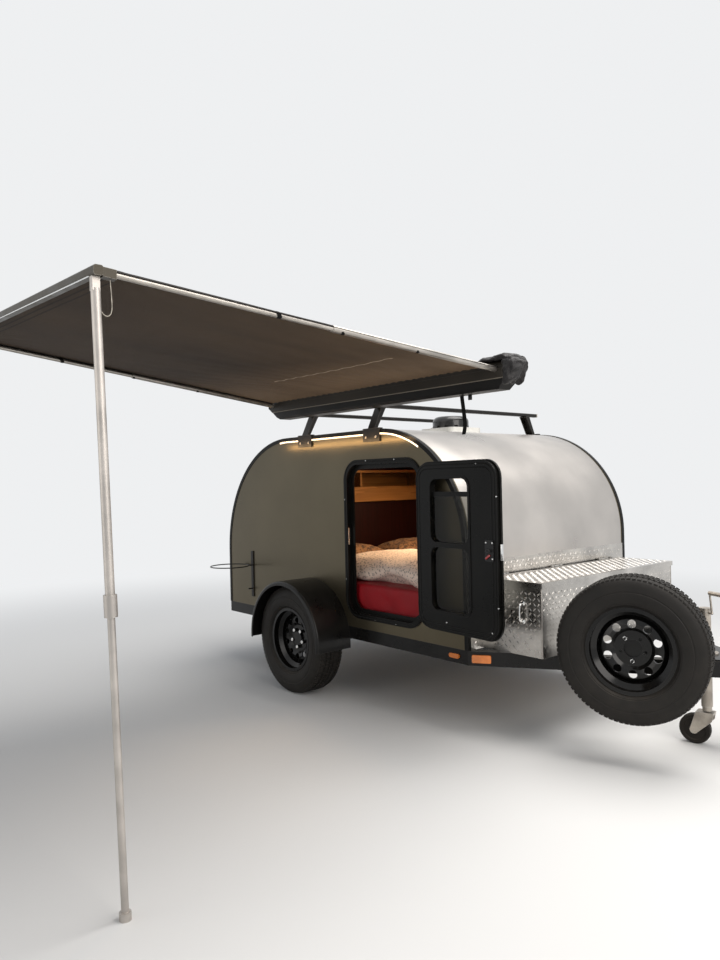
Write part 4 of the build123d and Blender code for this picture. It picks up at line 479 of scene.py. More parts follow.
# %% Floor
SKY = (0.86, 0.87, 0.88)
FLOOR_RADIUS = 60
FLOOR_MELTS = (2.3, 8.0)
bpy.ops.mesh.primitive_circle_add(vertices=96, radius=FLOOR_RADIUS, fill_type="NGON", location=(0, 0, 0))
floor = bpy.context.object
floor.name = "studio_floor"
tree, shader = new_finish("studio_floor", Base_Color=(0.66, 0.655, 0.64, 1), Roughness=0.85)
reach = node(tree, "ShaderNodeVectorMath", {0: here(tree)}, operation="LENGTH").outputs["Value"]
far = ramp(tree, reach, *FLOOR_MELTS, interpolation_type="SMOOTHSTEP")
haze = node(tree, "ShaderNodeEmission", {"Color": (*SKY, 1), "Strength": 1.0})
melt = node(tree, "ShaderNodeMixShader", {0: far, 1: shader.outputs[0], 2: haze.outputs[0]})
tree.links.new(melt.outputs[0], tree.nodes["Material Output"].inputs["Surface"])
floor.data.materials.append(finishes["studio_floor"])

# %% Sky: pale to the eye and in reflections, dimmer as a lamp
world = bpy.data.worlds.new("studio")
scene.world = world
world.use_nodes = True
tree = world.node_tree
rays = node(tree, "ShaderNodeLightPath").outputs
seen = maths(tree, "MAXIMUM", rays["Is Camera Ray"], maths(tree, "MAXIMUM", rays["Is Glossy Ray"],
             rays["Is Transmission Ray"]), clamp=True)
shown = node(tree, "ShaderNodeBackground", {"Color": (*SKY, 1), "Strength": 1.0})
lamp = node(tree, "ShaderNodeBackground", {"Color": (0.80, 0.86, 0.95, 1), "Strength": 0.45})
both = node(tree, "ShaderNodeMixShader", {0: seen, 1: lamp.outputs[0], 2: shown.outputs[0]})
tree.links.new(both.outputs[0], tree.nodes["World Output"].inputs["Surface"])

# %% Lamps


def soft_lamp(name, stand, aim, size, watts, colour):
    """A square area lamp that looks at a point."""
    bpy.ops.object.light_add(type="AREA", location=stand)
    made = bpy.context.object
    made.name = name
    made.data.shape = "SQUARE"
    made.data.size = size
    made.data.energy = watts
    made.data.color = colour
    made.rotation_euler = (Vector(aim) - Vector(stand)).to_track_quat("-Z", "Y").to_euler()
    return made


soft_lamp("sky_panel", at(3.2, 0.6, 6.0), at(1.6, 0.0, 0.6), 5.0, 430, (1.0, 0.97, 0.94))
soft_lamp("front_panel", at(7.0, -1.0, 3.0), at(2.0, -0.3, 0.8), 3.5, 150, (1.0, 0.95, 0.90))
soft_lamp("side_panel", at(1.0, -8.0, 2.2), at(1.4, -0.8, 0.8), 4.0, 75, (1.0, 0.95, 0.88))
soft_lamp("cabin_lamp", at(1.55, 0.1, 1.5), at(1.5, -0.1, 0.8), 0.5, 15, (1.0, 0.72, 0.46))
strip_glow = soft_lamp(
    "strip_glow", at(1.38, -0.87, 1.61), at(1.38, -0.78, 1.66), 1.3, 1.3, (1.0, 0.62, 0.28))
strip_glow.data.shape = "RECTANGLE"
strip_glow.data.size_y = 0.02

# %% [markdown]
# ## Modelling helpers
#
# Each new piece starts as a primitive and is shaped in edit mode, as by hand. These helpers do the chores:
# leave edit mode, select one object, pick faces by which way they look, and give a finished piece its
# name, finish and body.


def clear():
    """Leave edit mode and select nothing."""
    if bpy.context.object and bpy.context.object.mode != "OBJECT":
        bpy.ops.object.mode_set(mode="OBJECT")
    bpy.ops.object.select_all(action="DESELECT")


def grab(*pieces):
    """Select these objects and make the first one active."""
    clear()
    for piece in pieces:
        piece.select_set(True)
    bpy.context.view_layer.objects.active = pieces[0]


def edit(piece):
    """Open one object in edit mode with nothing selected."""
    grab(piece)
    bpy.ops.object.mode_set(mode="EDIT")
    bpy.ops.mesh.select_all(action="DESELECT")


def pick(axis):
    """Select the open piece's faces that look along an axis: 0 for X, 1 for Y, 2 for Z."""
    bpy.ops.mesh.select_mode(type="FACE")
    shape = bmesh.from_edit_mesh(bpy.context.object.data)
    for face in shape.faces:
        face.select_set(face.normal[axis] > 0.9)
    shape.select_flush_mode()
    bmesh.update_edit_mesh(bpy.context.object.data)


def select_all():
    """Select all that the open piece has."""
    bpy.ops.mesh.select_all(action="SELECT")


def extrude(move):
    """Pull the selection out and move it."""
    bpy.ops.mesh.extrude_region_move(TRANSFORM_OT_translate={"value": move})


def close():
    """Leave edit mode and give the piece."""
    bpy.ops.object.mode_set(mode="OBJECT")
    return bpy.context.object


def settle(piece, name, body, finish, smooth=40):
    """Give a piece its name, finish and body. Edges sharper than smooth degrees stay sharp, or none at 0."""
    grab(piece)
    piece.name = name
    piece.data.name = name
    bpy.ops.object.transform_apply()
    piece.data.materials.clear()
    piece.data.materials.append(finishes[finish])
    if smooth:
        bpy.ops.object.shade_smooth_by_angle(angle=math.radians(smooth))
    else:
        bpy.ops.object.shade_smooth()
    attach(piece, body)
    clear()
    return piece


def gather(pieces):
    """Join several meshes into the first."""
    grab(*pieces)
    bpy.ops.object.transform_apply()
    bpy.ops.object.join()
    return bpy.context.object


def twin(piece, pose):
    """A free copy of a piece, placed by a matrix."""
    copy = piece.copy()
    copy.data = piece.data.copy()
    scene.collection.objects.link(copy)
    copy.matrix_world = pose
    return copy


def scatter(master, poses):
    """Copies of a master piece at several places, joined. The master itself is used up."""
    copies = [twin(master, pose) for pose in poses]
    bpy.data.objects.remove(master)
    return gather(copies)


def facing(place, outward, turn=0.0):
    """A frame at a place whose Z looks outward, turned about it by some degrees."""
    rotation = Vector(outward).to_track_quat("Z", "Y").to_matrix().to_4x4()
    return Matrix.Translation(place) @ rotation @ Matrix.Rotation(math.radians(turn), 4, "Z")


def trace(points):
    """A wire through points, left open: one corner of a plane, extruded from point to point."""
    bpy.ops.mesh.primitive_plane_add(location=points[0])
    bpy.ops.object.transform_apply()
    bpy.ops.object.mode_set(mode="EDIT")
    bpy.ops.mesh.select_mode(type="VERT")
    select_all()
    bpy.ops.mesh.merge(type="CENTER")
    select_all()
    for start, end in zip(points, points[1:]):
        extrude(Vector(end) - Vector(start))
    return bpy.context.object


def block(low, high, bevel, segments=2):
    """A box between two corners with its edges rounded."""
    low, high = Vector(low), Vector(high)
    bpy.ops.mesh.primitive_cube_add(size=1, location=(low + high) / 2, scale=high - low)
    bpy.ops.object.transform_apply()
    bpy.ops.object.mode_set(mode="EDIT")
    select_all()
    bpy.ops.mesh.bevel(offset=bevel, segments=segments, affect="EDGES")
    return close()


def apply_all(piece):
    """Apply every modifier of a piece."""
    grab(piece)
    for modifier in list(piece.modifiers):
        bpy.ops.object.modifier_apply(modifier=modifier.name)


# %% [markdown]
# ## Bright metal
#
# Wheel nuts, screws and the catches on the door are zinc or chrome plate: a mirror with a slightly cloudy
# skin.

# %% Chrome and webbing
hard_finish("chrome", (0.78, 0.78, 0.77), 0.12, 1.0, patch=(40, 0.06), depth=0.0001, fineness=900.0, dust=0.1)
hard_finish("webbing", (0.006, 0.006, 0.006), 0.8, patch=(40, 0.25), depth=0.0006, fineness=1500.0,
            stretch=(1, 1, 0.3), dust=0.06, Specular_IOR_Level=0.15)

# %% [markdown]
# ## Wheel nuts and screws
#
# A nut is a six-sided drum with its top edge bevelled and a hollow sunk into it. A screw head is a low
# round drum made the same way. Each is modelled once and copied to its places.

# %% A wheel nut and a screw head


def drum(sides, radius, height):
    """A standing cylinder, open for editing with its top face selected."""
    bpy.ops.mesh.primitive_cylinder_add(
        vertices=sides, radius=radius, depth=height, location=(0, 0, height / 2))
    edit(bpy.context.object)
    pick(2)


def top_off(radius, rim, rise, hollow, depth):
    """Finish a drum's top: a rounded rim, then a hollow sunk into it. Amounts are shares of the radius."""
    bpy.ops.mesh.inset(thickness=radius * rim)
    bpy.ops.transform.translate(value=(0, 0, radius * rise))
    bpy.ops.mesh.inset(thickness=radius * hollow)
    extrude((0, 0, -depth))
    return close()


def nut_master(radius, height):
    """A bevelled hexagonal nut with a domed, dimpled end."""
    drum(6, radius, height)
    return top_off(radius, 0.16, 0.18, 0.3, height * 0.2)


def screw_master(radius):
    """A low pan head with a round hollow."""
    drum(16, radius, radius * 0.7)
    return top_off(radius, 0.25, 0.2, 0.3, radius * 0.4)


def screws(name, body, radius, poses):
    """A set of screw heads that belong together."""
    settle(scatter(screw_master(radius), poses), name, body, "chrome", 35)


# %% [markdown]
# ## Tyres
#
# The solid tyres have the right outline but no pattern. A wire with the section of an all-terrain tyre is
# spun round the axle: bead, sidewall with its protector rings, shoulder, and a belt a little lower than
# the tread. The tread blocks then stand on that belt, spun round as copies.

# %% Tyre section
TYRE_OUTER = 0.345
TREAD_DEPTH = 0.0055
SECTION = [
    (0.1912, 0.070), (0.1912, 0.0775), (0.2070, 0.0776), (0.2120, 0.0830), (0.2175, 0.0905),
    (0.2205, 0.0900), (0.2235, 0.0940), (0.2420, 0.1000), (0.2600, 0.1022), (0.2720, 0.1018),
    (0.2745, 0.1000), (0.2790, 0.1000), (0.2815, 0.1012), (0.2990, 0.0985), (0.3120, 0.0945),
    (0.3235, 0.0895), (0.3315, 0.0835), (0.3362, 0.0750), (0.3393, 0.0500), (0.3397, 0.0)]
OUTLINE = SECTION + [(r, -y) for r, y in reversed(SECTION[:-1])]
BLOCKS = 88
AXIS = (0, 1, 0)


def tread_row(width, length, across, skew, phase):
    """One row of blocks round the tyre: a tapered block, spun as copies."""
    bpy.ops.mesh.primitive_cube_add(size=1, location=(0, across, TYRE_OUTER - TREAD_DEPTH * 0.6),
                                    scale=(length, width, TREAD_DEPTH * 1.2))
    row = bpy.context.object
    bpy.ops.object.transform_apply()
    edit(row)
    pick(2)
    bpy.ops.transform.resize(value=(0.9, 0.93, 1), center_override=(0, across, TYRE_OUTER))
    pick(1)
    bpy.ops.transform.translate(value=(skew, 0, 0))
    select_all()
    bpy.ops.transform.rotate(value=-phase, orient_axis="Y", center_override=(0, 0, 0))
    bpy.ops.mesh.spin(steps=BLOCKS, dupli=True, angle=2 * math.pi, center=(0, 0, 0), axis=AXIS)
    return close()


def shoulder_row(side, phase):
    """The outermost blocks, which drop with the rounded shoulder."""
    row = tread_row(0.025, 0.0185, side * 0.0715, side * 0.002, phase)
    for point in row.data.vertices:
        over = max(0, abs(point.co.y) - 0.062)
        radius = math.hypot(point.co.x, point.co.z)
        drop = over * over * 14
        point.co.x *= (radius - drop) / radius
        point.co.z *= (radius - drop) / radius
    return row


def make_tyre():
    """A whole tyre about the Y axis: its section spun round into a carcass, and five rows of blocks."""
    trace([(0, y, r) for r, y in OUTLINE])
    select_all()
    bpy.ops.mesh.spin(steps=72, angle=2 * math.pi, center=(0, 0, 0), axis=AXIS)
    select_all()
    bpy.ops.mesh.remove_doubles(threshold=0.00005)
    bpy.ops.mesh.normals_make_consistent(inside=False)
    return gather([
        close(), tread_row(0.020, 0.0185, 0.0, 0.006, 0.02), tread_row(0.023, 0.0180, 0.0285, -0.005, 0.045),
        tread_row(0.023, 0.0180, -0.0285, 0.005, -0.02), shoulder_row(1, 0.03), shoulder_row(-1, 0.0)])


# %% Tyres in their places
TRACK = 0.895
AXLE = (1.080, 0.345)
SPARE = at(3.22025, -0.5, 0.55)
SPARE_TURN = math.radians(20)
spare_out = Vector((math.sin(SPARE_TURN), -math.cos(SPARE_TURN), 0))
axle_right, axle_left = (at(AXLE[0], side * TRACK, AXLE[1]) for side in (-1, 1))
master = make_tyre()
for node_name, pose, body in (
        ("tyre_right", Matrix.Translation(axle_right), "wheel_right_body"),
        ("tyre_left", Matrix.Translation(axle_left), "wheel_left_body"),
        ("spare_tyre", Matrix.Translation(SPARE) @ Matrix.Rotation(SPARE_TURN, 4, "Z"), "trailer")):
    rubber = settle(twin(master, pose), node_name.replace("tyre", "tread_tyre"), body, "tyre", 32)
    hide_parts(node_name)
print("tyre faces:", len(rubber.data.polygons))
bpy.data.objects.remove(master)

# %% Nuts of the three wheels
BOLT_CIRCLE = 0.05715


def ring_place(hub, angle, height):
    """A place on a hub's bolt circle. Angles run from straight up towards the hub's left."""
    lift = hub.to_3x3().inverted() @ Vector((0, 0, 1))
    side = Vector((0, 0, 1)).cross(lift)
    turn = math.radians(angle)
    spot = (lift * math.cos(turn) + side * math.sin(turn)) * BOLT_CIRCLE
    return hub @ Matrix.Translation(spot + Vector((0, 0, height)))


spare_hub = facing(SPARE, spare_out)
bright = scatter(nut_master(0.0125, 0.019), [ring_place(spare_hub, angle, 0.0085) for angle in (34.7, 178.7)])
settle(bright, "spare_bright_nuts", "trailer", "chrome", 30)
for end, middle, side in (("right", axle_right, -1), ("left", axle_left, 1)):
    hub = facing(middle, (0, side, 0))
    nuts = scatter(nut_master(0.0122, 0.006), [ring_place(hub, 35 + 72 * i, 0.0245) for i in range(5)])
    settle(nuts, "wheel_nuts_" + end, "wheel_" + end + "_body", "chrome", 30)

# %% [markdown]
# ## Tread plate
#
# The tongue box and the stone guard are pressed with a pattern of small lens-shaped lugs that alternate
# between two diagonals. One lug is modelled, four make a tile, and arrays repeat the tile over each face.
# The lugs are real shapes, so they catch the light at the box's edges too.

# %% One lug, one tile
LUG_PITCH = 0.026


def lug_tile():
    """Four lugs on alternate diagonals, two pitches square, standing on Z = 0."""
    lugs = []
    for column in (0, 1):
        for row in (0, 1):
            bpy.ops.mesh.primitive_cylinder_add(
                vertices=8, radius=1, depth=0.0014, location=(0, 0, 0.0005), scale=(0.0125, 0.0036, 1))
            bpy.ops.object.transform_apply()
            edit(bpy.context.object)
            pick(2)
            bpy.ops.transform.resize(value=(0.6, 0.45, 1), center_override=(0, 0, 0))
            select_all()
            slant = 45 if (column + row) % 2 else -45
            bpy.ops.transform.rotate(value=math.radians(slant), orient_axis="Z", center_override=(0, 0, 0))
            bpy.ops.transform.translate(value=(column * LUG_PITCH, row * LUG_PITCH, 0))
            lugs.append(close())
    return gather(lugs)


def tread_field(width, height, middle, outward):
    """Lugs all over a face of this size, round its middle, standing outward."""
    tile = lug_tile()
    counts = [max(1, int((size - 0.012) / (2 * LUG_PITCH) + 0.25)) for size in (width, height)]
    for axis, count in enumerate(counts):
        array = tile.modifiers.new("array", "ARRAY")
        array.use_relative_offset = False
        array.use_constant_offset = True
        array.constant_offset_displace = [2 * LUG_PITCH if axis == i else 0 for i in range(3)]
        array.count = count
    apply_all(tile)
    shift = [(1 - 2 * count) * LUG_PITCH / 2 for count in counts]
    tile.data.transform(Matrix.Translation((*shift, 0)))
    tile.matrix_world = facing(middle, outward)
    return tile


# %% Lugs on the box, its lid and the stone guard
BOX_REAR, BOX_FRONT, BOX_SIDE = 2.442, 2.822, 0.655
LID_REAR, LID_TOP = 2.475, 0.834
GUARD_WING, GUARD_BAND, GUARD_BAND_Z = 0.1, (1.3, 0.075), 0.882
box_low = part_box("tongue_box")[0]
lid_low, lid_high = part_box("tongue_box_lid")
guard_low, guard_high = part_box("stone_guard")
face_height = lid_low.z - box_low.z
face_z = (box_low.z + lid_low.z) / 2
fields = [tread_field(2 * BOX_SIDE, face_height, at(BOX_FRONT, 0, face_z), (1, 0, 0))]
for side in (-1, 1):
    end_middle = at((BOX_REAR + BOX_FRONT) / 2, side * BOX_SIDE, face_z)
    fields.append(tread_field(BOX_FRONT - BOX_REAR, face_height, end_middle, (0, side, 0)))
settle(gather(fields), "box_tread", "trailer", "tread_plate", 25)
lid_rear = at(LID_REAR, 0, 0).x
top = tread_field(lid_high.x - lid_rear, lid_high.y - lid_low.y,
                  Vector(((lid_rear + lid_high.x) / 2, MIDDLE, LID_TOP)), (0, 0, 1))
settle(top, "lid_tread", "box_lid_body", "tread_plate", 25)
strips = []
for side in (-1, 1):
    wing_middle = Vector((guard_high.x, MIDDLE + side * (BOX_SIDE + guard_high.y - MIDDLE) / 2,
                          (guard_low.z + guard_high.z) / 2))
    strips.append(tread_field(GUARD_WING, guard_high.z - guard_low.z, wing_middle, (1, 0, 0)))
strips.append(tread_field(*GUARD_BAND, Vector((guard_high.x, MIDDLE, GUARD_BAND_Z)), (1, 0, 0)))
settle(gather(strips), "guard_tread", "trailer", "tread_plate", 25)
print("tread lugs stand on the box, the lid and the guard")

# %% [markdown]
# ## Box fittings
#
# The near end of the box has a chrome grab handle: a rod bent out of two round feet. Along the lid's rear
# edge by the door lies a smooth strip without lugs. The box is folded sheet, with a bright rolled corner
# at each front edge.

# %% Grab handle


def bent_rod(points, radius, name, resolution=8):
    """A round rod along a smooth line near some points."""
    clear()
    return thickened(smooth_line(name, points, resolution), radius)


HANDLE_X, HANDLE_TOP, HANDLE_FOOT = 2.706, 0.722, 0.629
HANDLE_BEND = [(0, HANDLE_TOP), (0.024, HANDLE_TOP), (0.030, 0.700), (0.030, 0.650), (0.024, HANDLE_FOOT),
               (0, HANDLE_FOOT)]
handle = bent_rod([at(HANDLE_X, -BOX_SIDE - out, z) for out, z in HANDLE_BEND], 0.0055, "grab_handle")
feet = scatter(screw_master(0.013), [facing(at(HANDLE_X, -BOX_SIDE, z), (0, -1, 0))
                                     for z in (HANDLE_TOP, HANDLE_FOOT)])
settle(gather([handle, feet]), "grab_handle", "trailer", "chrome", 35)

# %% Smooth strip on the lid
smooth_strip = block(at(2.468, -0.655, 0.8345), at(2.512, -0.25, 0.8365), 0.0006)
settle(smooth_strip, "lid_smooth_strip", "box_lid_body", "brushed_skin", 30)

# %% [markdown]
# ## Cloth finishes
#
# The awning, its bag and the bed clothes are woven. The weave group draws crossing threads. A stretched
# sheet gives it the sheet's own UV map in metres, and a stuffed piece its place in space, slanted so that
# no face runs along the threads.

# %% Cloth recipe


def cloth_finish(name, colour, dark, thread=0.0012, depth=0.0003, rough=0.88, blotch=(7.0, 0.35, 0.65),
                 flat_sheet=False, **constants):
    """A woven cloth. Gives its tree and its shader, so that a pattern can be laid over it."""
    tree, shader = new_finish(name, Roughness=rough, **constants)
    coords = node(tree, "ShaderNodeTexCoord").outputs
    axes = node(tree, "ShaderNodeSeparateXYZ", {0: coords["Object"]}).outputs
    slanted = node(tree, "ShaderNodeCombineXYZ", {
        "X": maths(tree, "MULTIPLY_ADD", axes["Z"], 0.7, axes["X"]),
        "Y": maths(tree, "MULTIPLY_ADD", axes["Z"], 0.7, axes["Y"])}).outputs[0]
    threads = use(tree, weave, Place=coords["UV"] if flat_sheet else slanted, Thread=thread)
    cloudy = use(tree, patches, Scale=blotch[0], Low=blotch[1], High=blotch[2])["Mask"]
    darkness = maths(tree, "MULTIPLY_ADD", threads["Mask"], 0.5, maths(tree, "MULTIPLY", cloudy, 0.5))
    tree.links.new(blend_colours(tree, darkness, colour, dark), shader.inputs["Base Color"])
    emboss(tree, shader, threads["Height"], depth, 0.7)
    return tree, shader


cloth_finish("bag_cloth", (0.014, 0.012, 0.012), (0.006, 0.005, 0.005), thread=0.0016, depth=0.0004,
             rough=0.5, Specular_IOR_Level=0.35, Sheen_Weight=0.05, Sheen_Roughness=0.5)
cloth_finish("red_sheet", (0.36, 0.0035, 0.010), (0.23, 0.002, 0.006), thread=0.0009, rough=0.42,
             Specular_IOR_Level=0.25, Sheen_Weight=0.03, Sheen_Roughness=0.35)

# %% [markdown]
# The canopy is brown. Its underside has painted light: it is painted lighter near its case and towards
# the front. Its seams and hems are at set distances on the sheet.

# %% Canopy cloth
tree, shader = cloth_finish(
    "canopy_cloth", (0.058, 0.039, 0.024), (0.035, 0.023, 0.015), thread=0.0015, flat_sheet=True,
    blotch=(2.2, 0.3, 0.7), rough=0.8, Specular_IOR_Level=0.2)
on_sheet = node(tree, "ShaderNodeTexCoord").outputs["UV"]
along, out = (part_of(tree, on_sheet, axis) for axis in "XY")
# Painted light on the underside: lighter near the case and towards the front.
near_case = ramp(tree, out, 0.85, 0.02, interpolation_type="SMOOTHSTEP")
to_front = maths(tree, "MULTIPLY", ramp(tree, along, 0.9, 1.95), ramp(tree, out, 1.7, 0.5))
painted_light = maths(tree, "MAXIMUM", maths(tree, "MULTIPLY", near_case, 0.85), maths(tree, "MULTIPLY", to_front, 0.4))
underside = maths(tree, "LESS_THAN", part_of(tree, surface_normal(tree), "Z"), 0.0)
recolour(tree, shader, maths(tree, "MULTIPLY", painted_light, underside), (0.23, 0.155, 0.095))
streaks = ramp(tree, use(tree, grain, Scale=26.0, Stretch=(1.0, 0.22, 1.0))["Mask"], 0.50, 0.68)
recolour(tree, shader, maths(tree, "MULTIPLY", streaks, 0.35), (0.030, 0.021, 0.015))
for seam_out, half, colour in ((1.788, 0.0035, (0.018, 0.013, 0.009)), (1.815, 0.0035, (0.018, 0.013, 0.009)),
                               (1.872, 0.016, (0.012, 0.010, 0.008))):
    recolour(tree, shader, maths(tree, "COMPARE", out, seam_out, half), colour)
pale = maths(tree, "MULTIPLY", maths(tree, "COMPARE", out, 0.437, 0.0035),
             maths(tree, "COMPARE", along, 1.19, 0.49))
recolour(tree, shader, pale, (0.42, 0.33, 0.24))
for edge in (0.0, 1.931):
    recolour(tree, shader, maths(tree, "COMPARE", along, edge, 0.032), (0.014, 0.011, 0.009))

# %% [markdown]
# The blanket is off-white with a fine scatter of dark flecks. The pillows are tan with irregular brown
# blotches. Both are made from Voronoi cells: flecks are small discs round the cells' points, and
# blotches are the cells' rims, broken up by noise.

# %% Flecked blanket and blotched pillows


def cell_distance(tree, scale):
    """Distance from a point to the middle of its cell, in shares of a cell."""
    return node(tree, "ShaderNodeTexVoronoi", {"Vector": here(tree), "Scale": scale}).outputs["Distance"]


tree, shader = cloth_finish(
    "pale_blanket", (0.82, 0.67, 0.56), (0.70, 0.55, 0.45), thread=0.002, depth=0.0005, rough=0.92,
    Sheen_Weight=0.1, Sheen_Roughness=0.6)
fleck = ramp(tree, cell_distance(tree, 66.0), 0.40, 0.30)
recolour(tree, shader, maths(tree, "MULTIPLY", fleck, 0.75), (0.16, 0.115, 0.095))
tree, shader = cloth_finish(
    "tan_pillow", (0.25, 0.125, 0.05), (0.17, 0.08, 0.03), thread=0.0012, rough=0.85, Sheen_Weight=0.06,
    Sheen_Roughness=0.5)
rim = ramp(tree, cell_distance(tree, 58.0), 0.30, 0.44)
broken = ramp(tree, cloudy_noise(tree, here(tree), 40.0, 3.0), 0.44, 0.54)
recolour(tree, shader, maths(tree, "MULTIPLY", rim, broken), (0.045, 0.02, 0.009))

# %% [markdown]
# ## The canopy
#
# One sheet lies over both rafters from the case's mouth to the lead rail. The lead rail's rear end
# stands higher, so the sheet is twisted. It sags a little between the rafters, creases fan out from the
# case and from the corners, and its side hems turn down over the rafters.

# %% Canopy sheet
canopy_low, canopy_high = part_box("awning_canopy")
SAG = 0.022
HEM_DROP = 0.013
COLUMNS, ROWS = 100, 96


def canopy_corner(x, y):
    """Height of the solid canopy at one of its corners."""
    points = [v.co for v in nodes["awning_canopy"].data.vertices]
    return max(p.z for p in points if math.hypot(p.x - x, p.y - y) < 0.02)


corner = {(s, t): canopy_corner((canopy_low, canopy_high)[s].x, (canopy_high, canopy_low)[t].y)
          for s in (0, 1) for t in (0, 1)}


def canopy_height(s, t):
    """Height of the cloth: s runs along the trailer from rear to front, t from the case to the lead rail."""
    rear = corner[0, 0] * (1 - t) + corner[0, 1] * t
    front = corner[1, 0] * (1 - t) + corner[1, 1] * t
    z = rear * (1 - s) + front * s
    z -= SAG * math.sin(math.pi * s) ** 0.8 * math.sin(math.pi * min(1, t * 1.02)) ** 0.7
    inside = min(1, 30 * s, 30 * (1 - s)) * min(1, 40 * (1 - t))
    fan = (s - 0.62) / (0.25 + t)
    z += 0.0030 * inside * math.exp(-3.2 * t) * math.sin(58 * fan + 2.5 * noise.noise((4 * s, 3 * t, 0)))
    crest = noise.ridged_multi_fractal((2.2 * s + 0.8 * t, 7 * t, 1.7), 1.0, 2.0, 3, 1.0, 2.0)
    z += 0.0022 * inside * (crest - 1.0)
    for cs, ct in ((0, 1), (1, 1), (1, 0), (0, 0)):
        angle = math.atan2(abs(t - ct), abs(s - cs) + 1e-6)
        z += 0.0026 * inside * math.exp(-7 * math.hypot(s - cs, t - ct)) * math.sin(22 * angle)
    return z


bpy.ops.mesh.primitive_grid_add(x_subdivisions=COLUMNS, y_subdivisions=ROWS, size=2, calc_uvs=True)
canopy = bpy.context.object
width = canopy_high.x - canopy_low.x
reach = canopy_high.y - canopy_low.y
for point in canopy.data.vertices:
    s, t = (point.co.x + 1) / 2, (1 - point.co.y) / 2
    edge = min(s, 1 - s) * COLUMNS
    turned_down = max(0.0, 1.5 - edge) / 1.5
    point.co = (
        canopy_low.x + s * width + math.copysign(0.0015, s - 0.5) * (turned_down > 0),
        canopy_high.y - t * reach, canopy_height(s, t) + 0.0005 - HEM_DROP * turned_down ** 1.5)
uv = canopy.data.uv_layers.active.data
for loop in canopy.data.loops:
    place = canopy.data.vertices[loop.vertex_index].co
    uv[loop.index].uv = (place.x - canopy_low.x, canopy_high.y - place.y)
thick = canopy.modifiers.new("cloth", "SOLIDIFY")
thick.thickness = 0.0012
thick.offset = 0
apply_all(canopy)
settle(canopy, "canopy_sheet", "trailer", "canopy_cloth", 60)
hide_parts("awning_canopy")
print("canopy", round(width, 3), "by", round(reach, 3), "corners", [round(z, 3) for z in corner.values()])

# %% [markdown]
# ## Stuffed pieces
#
# A mattress, a pillow or a heap of blanket is a skin blown up from inside. A shaped form is remeshed into
# small even faces and becomes cloth with pressure and no gravity. After twenty frames it has creases and
# a crown of its own. No point may move further than a cap, so the piece keeps to its place.

# %% Blow a form up as cloth
CLOTH_FRAMES = 20


def remeshed(piece, voxel):
    """Rebuild a closed form from even faces of about one voxel."""
    grab(piece)
    piece.data.remesh_voxel_size = voxel
    bpy.ops.object.voxel_remesh()
    return piece


def puff(piece, cap, pressure=4.0, stiffness=12.0):
    """Run pressure cloth on a form and keep its last frame, with no point moved further than the cap."""
    start = [point.co.copy() for point in piece.data.vertices]
    grab(piece)
    bpy.ops.object.modifier_add(type="CLOTH")
    cloth = piece.modifiers[-1]
    cloth.settings.use_pressure = True
    cloth.settings.uniform_pressure_force = pressure
    cloth.settings.effector_weights.gravity = 0
    cloth.settings.tension_stiffness = stiffness
    cloth.settings.compression_stiffness = stiffness
    cloth.settings.bending_stiffness = 0.2
    cloth.settings.quality = 3
    cloth.point_cache.frame_start = 1
    cloth.point_cache.frame_end = CLOTH_FRAMES
    for number in range(1, CLOTH_FRAMES + 1):
        scene.frame_set(number)
    bpy.ops.object.modifier_apply(modifier=cloth.name)
    scene.frame_set(1)
    for point, before in zip(piece.data.vertices, start):
        move = point.co - before
        if move.length > cap:
            point.co = before + move * (cap / move.length)


def finer(piece):
    """One level of subdivision, applied."""
    finer_step = piece.modifiers.new("finer", "SUBSURF")
    finer_step.levels = finer_step.render_levels = 1
    apply_all(piece)


def push(piece, distance):
    """Move each point of a mesh along its own normal, by a distance worked out from its place."""
    moves = [(point, point.normal * distance(point.co)) for point in piece.data.vertices]
    for point, move in moves:
        point.co += move
    piece.data.update()


def copy_of(node_name):
    """A free copy of a solid part's mesh, to be reshaped."""
    copy = bpy.data.objects.new(node_name + "_form", nodes[node_name].data.copy())
    scene.collection.objects.link(copy)
    return copy


def ridge(place, seed):
    """Sharp-crested noise around 0, for creases in cloth."""
    place = Vector(place) + Vector((seed, 2 * seed, 3 * seed))
    return noise.ridged_multi_fractal(place, 0.9, 2.1, 3, 1.0, 2.0) - 1.0


# %% [markdown]
# ## The awning's bag
#
# The awning's weather bag is unzipped and hangs bunched over the front end of the case. Its form comes from
# the solid bag, remeshed, and then crumpled: long folds run from its outer tip down and back, and each
# point moves along its own normal.

# %% Crumpled bag
bag_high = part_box("awning_bag")[1]
bag = remeshed(copy_of("awning_bag"), 0.006)
tip = Vector((bag_high.x - 0.01, bag_high.y - 0.02, bag_high.z - 0.03))


def bag_fold(place):
    """Folds that run out from the bag's tip, with small creases all over."""
    away = place - tip
    swing = math.atan2(away.z, away.x)
    tilt = math.atan2(away.y, math.hypot(away.x, away.z))
    return 0.0045 * ridge((2.2 * swing, 3.0 * tilt, 5 * away.length), 1.3) + 0.0022 * ridge(place * 11, 4.1)


for _ in range(3):
    push(bag, bag_fold)
smooth = bag.modifiers.new("relax", "SMOOTH")
smooth.factor = 0.5
smooth.iterations = 2
finer(bag)
settle(bag, "crumpled_bag", "trailer", "bag_cloth", 0)
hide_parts("awning_bag")
print("bag points:", len(bag.data.vertices))

# %% [markdown]
# ## The bed
#
# The mattress fills the cabin floor under a fitted red sheet. Its side at the door shows slanting pulls
# where the sheet is tucked under.

